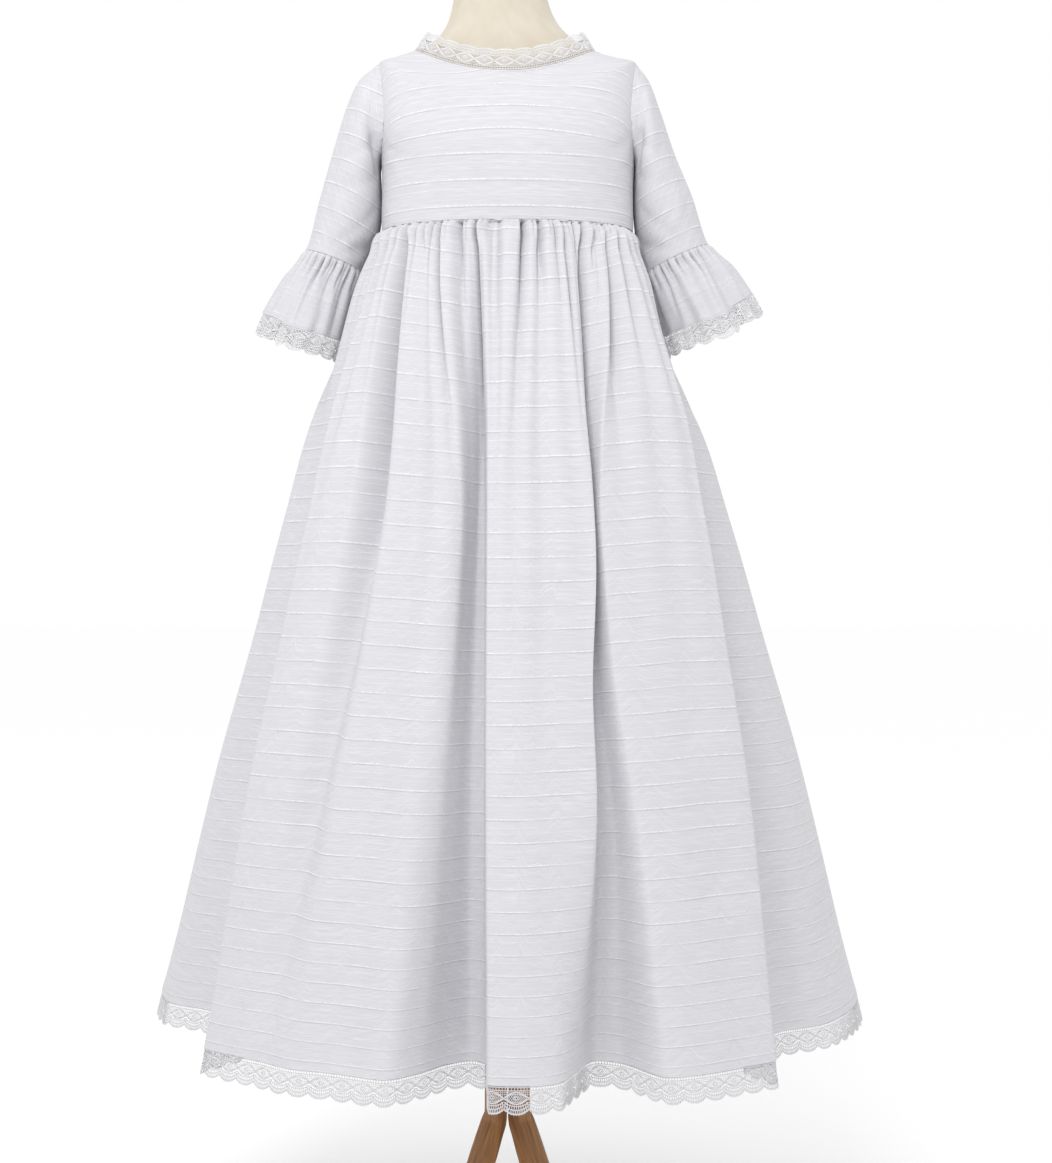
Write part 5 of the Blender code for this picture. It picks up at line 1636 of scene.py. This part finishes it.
def collar_lines():
    """The neckline's seam and the collar's upper edge, open at the centre back."""
    end = 180.0 - COLLAR_BACK_SLIT / 2
    level = level_of("neckline")
    foot = []
    top = []
    for angle in even(-end, end, 160):
        edge = body_point(angle, level)
        inward = (body_point(angle, level + LEVEL_STEP) - edge).normalized()
        low = edge + inward * COLLAR_CLEARANCE
        ripple = math.sin(math.radians(angle * COLLAR_LEAN["beats"]))
        size = 1.0 + COLLAR_LEAN["ripple"] * ripple
        foot.append(low)
        top.append((low.x * COLLAR_LEAN["x"] * size, low.y * COLLAR_LEAN["y"] * size,
                    low.z + COLLAR_LEAN["rise"]))
    return np.array(foot), np.array(top)


class MakeLace(bpy.types.Operator):
    """Make the scalloped lace on the collar, both ruffles and the hem"""

    bl_idname = "dress.make_lace"
    bl_label = "Lace"

    def execute(self, context):
        rows = [("collar_lace", collar_lines(), False, "trim_cotton", COLLAR_SCALLOP,
                 "bodice_front_cloth")]
        for side in ("right", "left"):
            lines = frill_grid(side, [FRILL_EDGE_RING, FRILL_LACE_RING])
            rows.append((f"sleeve_lace_{side}", lines, True, "trim_cotton", 1.0,
                         f"sleeve_ruffle_{side}_cloth"))
        rows.append(("hem_lace_front", hem_lines(-QUARTER, QUARTER), False, "lace_cotton", 1.0,
                     "skirt_front_cloth"))
        rows.append(("hem_lace_back", hem_lines(QUARTER, 3 * QUARTER), False, "lace_cotton", 1.0,
                     "skirt_back_right_cloth"))
        for node, (top, bottom), closed, cotton, scallop, sewn_to in rows:
            piece, length = lace_band(node, top, bottom, closed, cotton, scallop)
        return {"FINISHED"}


# Form and stand

def form_grid(columns):
    """Points of the padded form, from its seat to the rings of its neck's low dome."""
    turns = even(0.0, 360.0, columns)[:-1]
    rows = []
    for level in even(0.0, level_of("neck_top"), 118):
        ease = read_row(BODY_VALUES, BODY_COLUMNS, level)["ease"] + FORM_CLEARANCE
        rows.append([body_point(turn, level) - body_normal(turn, level) * ease for turn in turns])
    last = dict(zip(BODY_COLUMNS, BODY_VALUES[-1]))
    crown = Vector((last["middle_x"], 0.0, last["z_side"] + NECK_DOME["rise"]))
    dome = [(1.0 - (1.0 - NECK_DOME["share"]) * step ** 2, math.sqrt(1.0 - (1.0 - step) ** 2))
            for step in NECK_DOME["steps"]]
    rim = rows[-1]
    for share, rise in dome + [(share, 1.0) for share in NECK_DOME["inner"]]:
        z = last["z_side"] + NECK_DOME["rise"] * rise
        ring = [crown.lerp(point, share) for point in rim]
        rows.append([Vector((point.x, point.y, z)) for point in ring])
    return np.array(rows), crown


class MakeForm(bpy.types.Operator):
    """Make the padded torso and neck in cream jersey"""

    bl_idname = "dress.make_form"
    bl_label = "Dress form"

    def execute(self, context):
        columns = 96
        grid, crown = form_grid(columns)
        corners, places = shell_faces(len(grid), columns, True, 0)
        seat = (0.0, 0.0, grid[0, 0, 2])
        points = np.concatenate([grid.reshape(-1, 3), [seat, crown]])
        count = len(grid) * columns
        caps = [(count, (k + 1) % columns, k) for k in range(columns)]
        caps += [(count + 1, count - columns + k, count - columns + (k + 1) % columns)
                 for k in range(columns)]
        u = np.tile(np.arange(columns + 1) / columns * FORM_GIRTH, (len(grid), 1))
        v = with_last_column(lengths_along(grid, 0))
        r, c = places[..., 0], places[..., 1]
        layer = np.concatenate([
            np.stack([u[r, c], v[r, c]], -1).reshape(-1, 2),
            points[np.array(caps).ravel(), :2],
        ])
        piece = new_object("form_padding", points, corners.tolist() + caps, {"cloth": layer},
                           ready_material("form_jersey"), sharp_angle=60.0)
        turn_faces_out(piece)
        finish_piece(piece, "form_body")
        return {"FINISHED"}


def leg_stations(at_back, steps=44):
    """Places down a leg's middle line, as radius, height and width, closer than the solid's."""
    places = []
    for step in range(steps + 1):
        at = (len(LEG_PATH) - 1) * step / steps
        row = read_row(LEG_PATH, LEG_COLUMNS, at)
        share = max(0.0, (row["z"] - BACK_LEG_FADE_Z) / (LEG_TOP_Z - BACK_LEG_FADE_Z)) ** 0.5
        radius = row["radius"] + (BACK_LEG_OFFSET * share if at_back else 0.0)
        places.append((radius, row["z"], row["width"]))
    return places


def model_leg(name, at_back):
    """A leg drawn out from its top end, station by station, in the plane y = 0."""
    places = leg_stations(at_back)
    radius, z, width = places[0]
    bpy.ops.object.select_all(action="DESELECT")
    bpy.ops.mesh.primitive_plane_add(size=1.0, location=(radius, 0.0, z))
    leg = bpy.context.active_object
    leg.name = name
    leg.data.name = name
    bpy.ops.object.mode_set(mode="EDIT")
    bpy.ops.mesh.select_all(action="SELECT")
    bpy.ops.transform.resize(value=(LEG_THICKNESS, width, 1.0), center_override=(radius, 0.0, z))
    lean = 0.0
    for before, here, after in zip(places, places[1:], places[2:] + places[-1:]):
        step = (here[0] - before[0], 0.0, here[1] - before[1])
        bpy.ops.mesh.extrude_region_move(TRANSFORM_OT_translate={"value": step})
        wanted = math.atan2(after[0] - before[0], before[1] - after[1])
        if here[1] <= LEG_THICKNESS / 2 + SMALL_STEP:
            wanted = math.pi / 2
        centre = (here[0], 0.0, here[1])
        bpy.ops.transform.rotate(value=wanted - lean, orient_axis="Y", center_override=centre)
        lean = wanted
        bpy.ops.transform.resize(value=(1.0, here[2] / before[2], 1.0), center_override=centre)
    bpy.ops.mesh.select_all(action="SELECT")
    bpy.ops.mesh.normals_make_consistent(inside=False)
    bpy.ops.object.mode_set(mode="OBJECT")
    bpy.ops.object.transform_apply(location=True, rotation=True, scale=True)
    bevel = leg.modifiers.new("edges", "BEVEL")
    bevel.width = LEG_EDGE
    bevel.segments = 2
    bevel.angle_limit = math.radians(50.0)
    bpy.ops.object.modifier_apply(modifier=bevel.name)
    add_grain_map(leg, places)
    bpy.ops.object.shade_smooth_by_angle(angle=math.radians(35.0))
    return leg


def add_grain_map(leg, places):
    """Lay the wood's grain along the leg: across its face, and down its middle line."""
    line = np.array([(radius, z) for radius, z, _ in places])
    lengths = line_lengths(line)
    layer = leg.data.uv_layers.get("cloth") or leg.data.uv_layers.new(name="cloth")
    for corner, loop in enumerate(leg.data.loops):
        point = leg.data.vertices[loop.vertex_index].co
        nearest = np.linalg.norm(line - (point.x, point.z), axis=1).argmin()
        across = point.y + GRAIN_LEAN * (point.x - line[nearest, 0])
        layer.data[corner].uv = (across, lengths[nearest])


class MakeStand(bpy.types.Operator):
    """Make the four curved legs, and finish the turned pole, hub and plate in wood"""

    bl_idname = "dress.make_stand"
    bl_label = "Wooden stand"

    def execute(self, context):
        patterns = [model_leg("leg_pattern_front", False), model_leg("leg_pattern_back", True)]
        for node, angle in LEG_ANGLES.items():
            pattern = patterns[abs(angle) > 90.0]
            leg = pattern.copy()
            leg.data = pattern.data.copy()
            leg.name = f"{node}_wood"
            leg.data.name = leg.name
            context.scene.collection.objects.link(leg)
            leg.data.transform(Matrix.Rotation(math.radians(angle - 90.0), 4, "Z"))
            leg.data.materials.clear()
            leg.data.materials.append(ready_material("leg_wood"))
            finish_piece(leg, node)
        for pattern in patterns:
            bpy.data.objects.remove(pattern)
        for node in ("base_plate", "pole", "leg_hub"):
            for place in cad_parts[node].material_slots:
                place.material = ready_material("stand_wood")
        return {"FINISHED"}


# Stitches

def stitch_row(name, grid, closed, width):
    """A row of small machine stitches along a grid's second row, proud of the cloth."""
    outward = from_middle(grid) if closed else from_axis(grid)
    normals = facing_normals(grid, outward, closed)[1]
    line = grid[1] + normals * sizes().cloth_thickness / 2
    if closed:
        line = np.concatenate([line, line[:1]])
        normals = np.concatenate([normals, normals[:1]])
    lengths = line_lengths(line)
    count = max(2, int(lengths[-1] / sizes().stitch_pitch))
    places = (np.arange(count) + 0.5) * lengths[-1] / count
    at = read_line(places, lengths, line)
    out = unit(read_line(places, lengths, normals))
    run = unit(read_line(places + SMALL_STEP, lengths, line)
               - read_line(places - SMALL_STEP, lengths, line))
    along = run * STITCH["length"] / 2
    across = np.cross(run, out) * width / 2
    rim = at + out * STITCH["rim"]
    rings = [rim - along, rim + across, rim + along, rim - across,
             at + out * STITCH["top"], at - out * STITCH["root"]]
    points = np.stack(rings, 1).reshape(-1, 3)
    pattern = np.array([(4, 0, 1), (4, 1, 2), (4, 2, 3), (4, 3, 0),
                        (5, 1, 0), (5, 2, 1), (5, 3, 2), (5, 0, 3)])
    faces = (pattern[None] + 6 * np.arange(count)[:, None, None]).reshape(-1, 3)
    # The stitches take the hem lace's material, whose colour is painted darker as shade.
    piece = new_object(name, points, faces.tolist(), {"cloth": points[faces][..., :2]},
                       ready_material("lace_cotton"))
    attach(piece, "root")


class MakeStitches(bpy.types.Operator):
    """Make the rows of stitches along the neckline, the ruffles' edges and the hem"""

    bl_idname = "dress.make_stitches"
    bl_label = "Stitches"

    def execute(self, context):
        for name, first, last in (("hem_stitches_front", -QUARTER, QUARTER),
                                  ("hem_stitches_back", QUARTER, 3 * QUARTER)):
            heights = [HEM_Z + above for above in STITCH_LINES["hem"]]
            grid = skirt_grid(skirt_gathers(first, last), heights)
            stitch_row(name, grid, False, STITCH["width"])
        for side in ("right", "left"):
            grid = frill_grid(side, [FRILL_EDGE_RING - above for above in STITCH_LINES["ruffle"]])
            stitch_row(f"ruffle_stitches_{side}", grid, True, STITCH["width"])
        level = level_of("neckline")
        for name, first in (("neck_stitches_front", -89.0), ("neck_stitches_back", 91.0)):
            grid = np.array([[body_point(angle, level - below)
                              for angle in even(first, first + 178.0, 120)]
                             for below in STITCH_LINES["neck"]])
            stitch_row(name, grid, False, STITCH["neck_width"])
        return {"FINISHED"}


# Stage

class MakeStage(bpy.types.Operator):
    """Make the pale floor, the studio light and the camera"""

    bl_idname = "dress.make_stage"
    bl_label = "Stage"

    def execute(self, context):
        scene = context.scene
        bpy.ops.object.select_all(action="DESELECT")
        bpy.ops.mesh.primitive_plane_add(size=60.0, location=(0.0, 0.0, 0.0))
        floor = context.active_object
        floor.name = "floor"
        material, tree, shader = start_material("floor_white", 0.9, specular=0.0)
        tint = scaled_noise(tree, add_node(tree, "ShaderNodeTexCoord").outputs["Object"],
                            (0.4, 0.4, 0.4))
        colour = mix_colour(tree, tint, (0.985, 0.985, 0.985), (0.995, 0.995, 0.995))
        paint(tree, shader, colour)
        floor.data.materials.append(material)

        camera_data = bpy.data.cameras.new("camera")
        camera_data.lens = CAMERA["lens"]
        camera_data.sensor_width = CAMERA["sensor"]
        camera_data.sensor_fit = "AUTO"
        camera = bpy.data.objects.new("camera", camera_data)
        camera.location = CAMERA["place"]
        camera.rotation_euler = (math.radians(90.0), 0.0, 0.0)
        scene.collection.objects.link(camera)
        scene.camera = camera

        data = bpy.data.lights.new("key", "AREA")
        data.energy = KEY_LIGHT["power"]
        data.size = KEY_LIGHT["size"]
        lamp = bpy.data.objects.new("key", data)
        lamp.location = KEY_LIGHT["place"]
        aim = Vector(KEY_LIGHT["target"]) - lamp.location
        lamp.rotation_euler = aim.to_track_quat("-Z", "Y").to_euler()
        scene.collection.objects.link(lamp)
        world = bpy.data.worlds.new("studio")
        scene.world = world
        world.use_nodes = True
        background = world.node_tree.nodes["Background"]
        background.inputs["Color"].default_value = WHITE
        background.inputs["Strength"].default_value = 1.0
        scene.view_settings.view_transform = "Standard"
        return {"FINISHED"}


class DressPanel(bpy.types.Panel):
    """Lists the steps that make the dress, and its sizes and colours"""

    bl_idname = "VIEW3D_PT_communion_dress"
    bl_label = "Communion dress"
    bl_space_type = "VIEW_3D"
    bl_region_type = "UI"
    bl_category = "Dress"

    def draw(self, context):
        layout = self.layout
        for step in STEPS:
            layout.operator(step.bl_idname)
        for group in (context.scene.dress_sizes, context.scene.dress_look):
            box = layout.box()
            for name in group.__annotations__:
                box.prop(group, name)


STEPS = (MakeStage, MakeForm, MakeBodice, MakeSleeves, MakeSkirt, MakeLace, MakeStitches,
         MakeStand)
CLASSES = (DressLook, DressSizes) + STEPS + (DressPanel,)


def register():
    for kind in CLASSES:
        bpy.utils.register_class(kind)
    bpy.types.Scene.dress_look = bpy.props.PointerProperty(type=DressLook)
    bpy.types.Scene.dress_sizes = bpy.props.PointerProperty(type=DressSizes)


def unregister():
    del bpy.types.Scene.dress_sizes
    del bpy.types.Scene.dress_look
    for kind in reversed(CLASSES):
        bpy.utils.unregister_class(kind)


def main():
    """Make every piece in order."""
    register()
    for make in (bpy.ops.dress.make_stage, bpy.ops.dress.make_form, bpy.ops.dress.make_bodice,
                 bpy.ops.dress.make_sleeves, bpy.ops.dress.make_skirt, bpy.ops.dress.make_lace,
                 bpy.ops.dress.make_stitches, bpy.ops.dress.make_stand):
        make()
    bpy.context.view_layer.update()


if __name__ == "__main__":
    main()
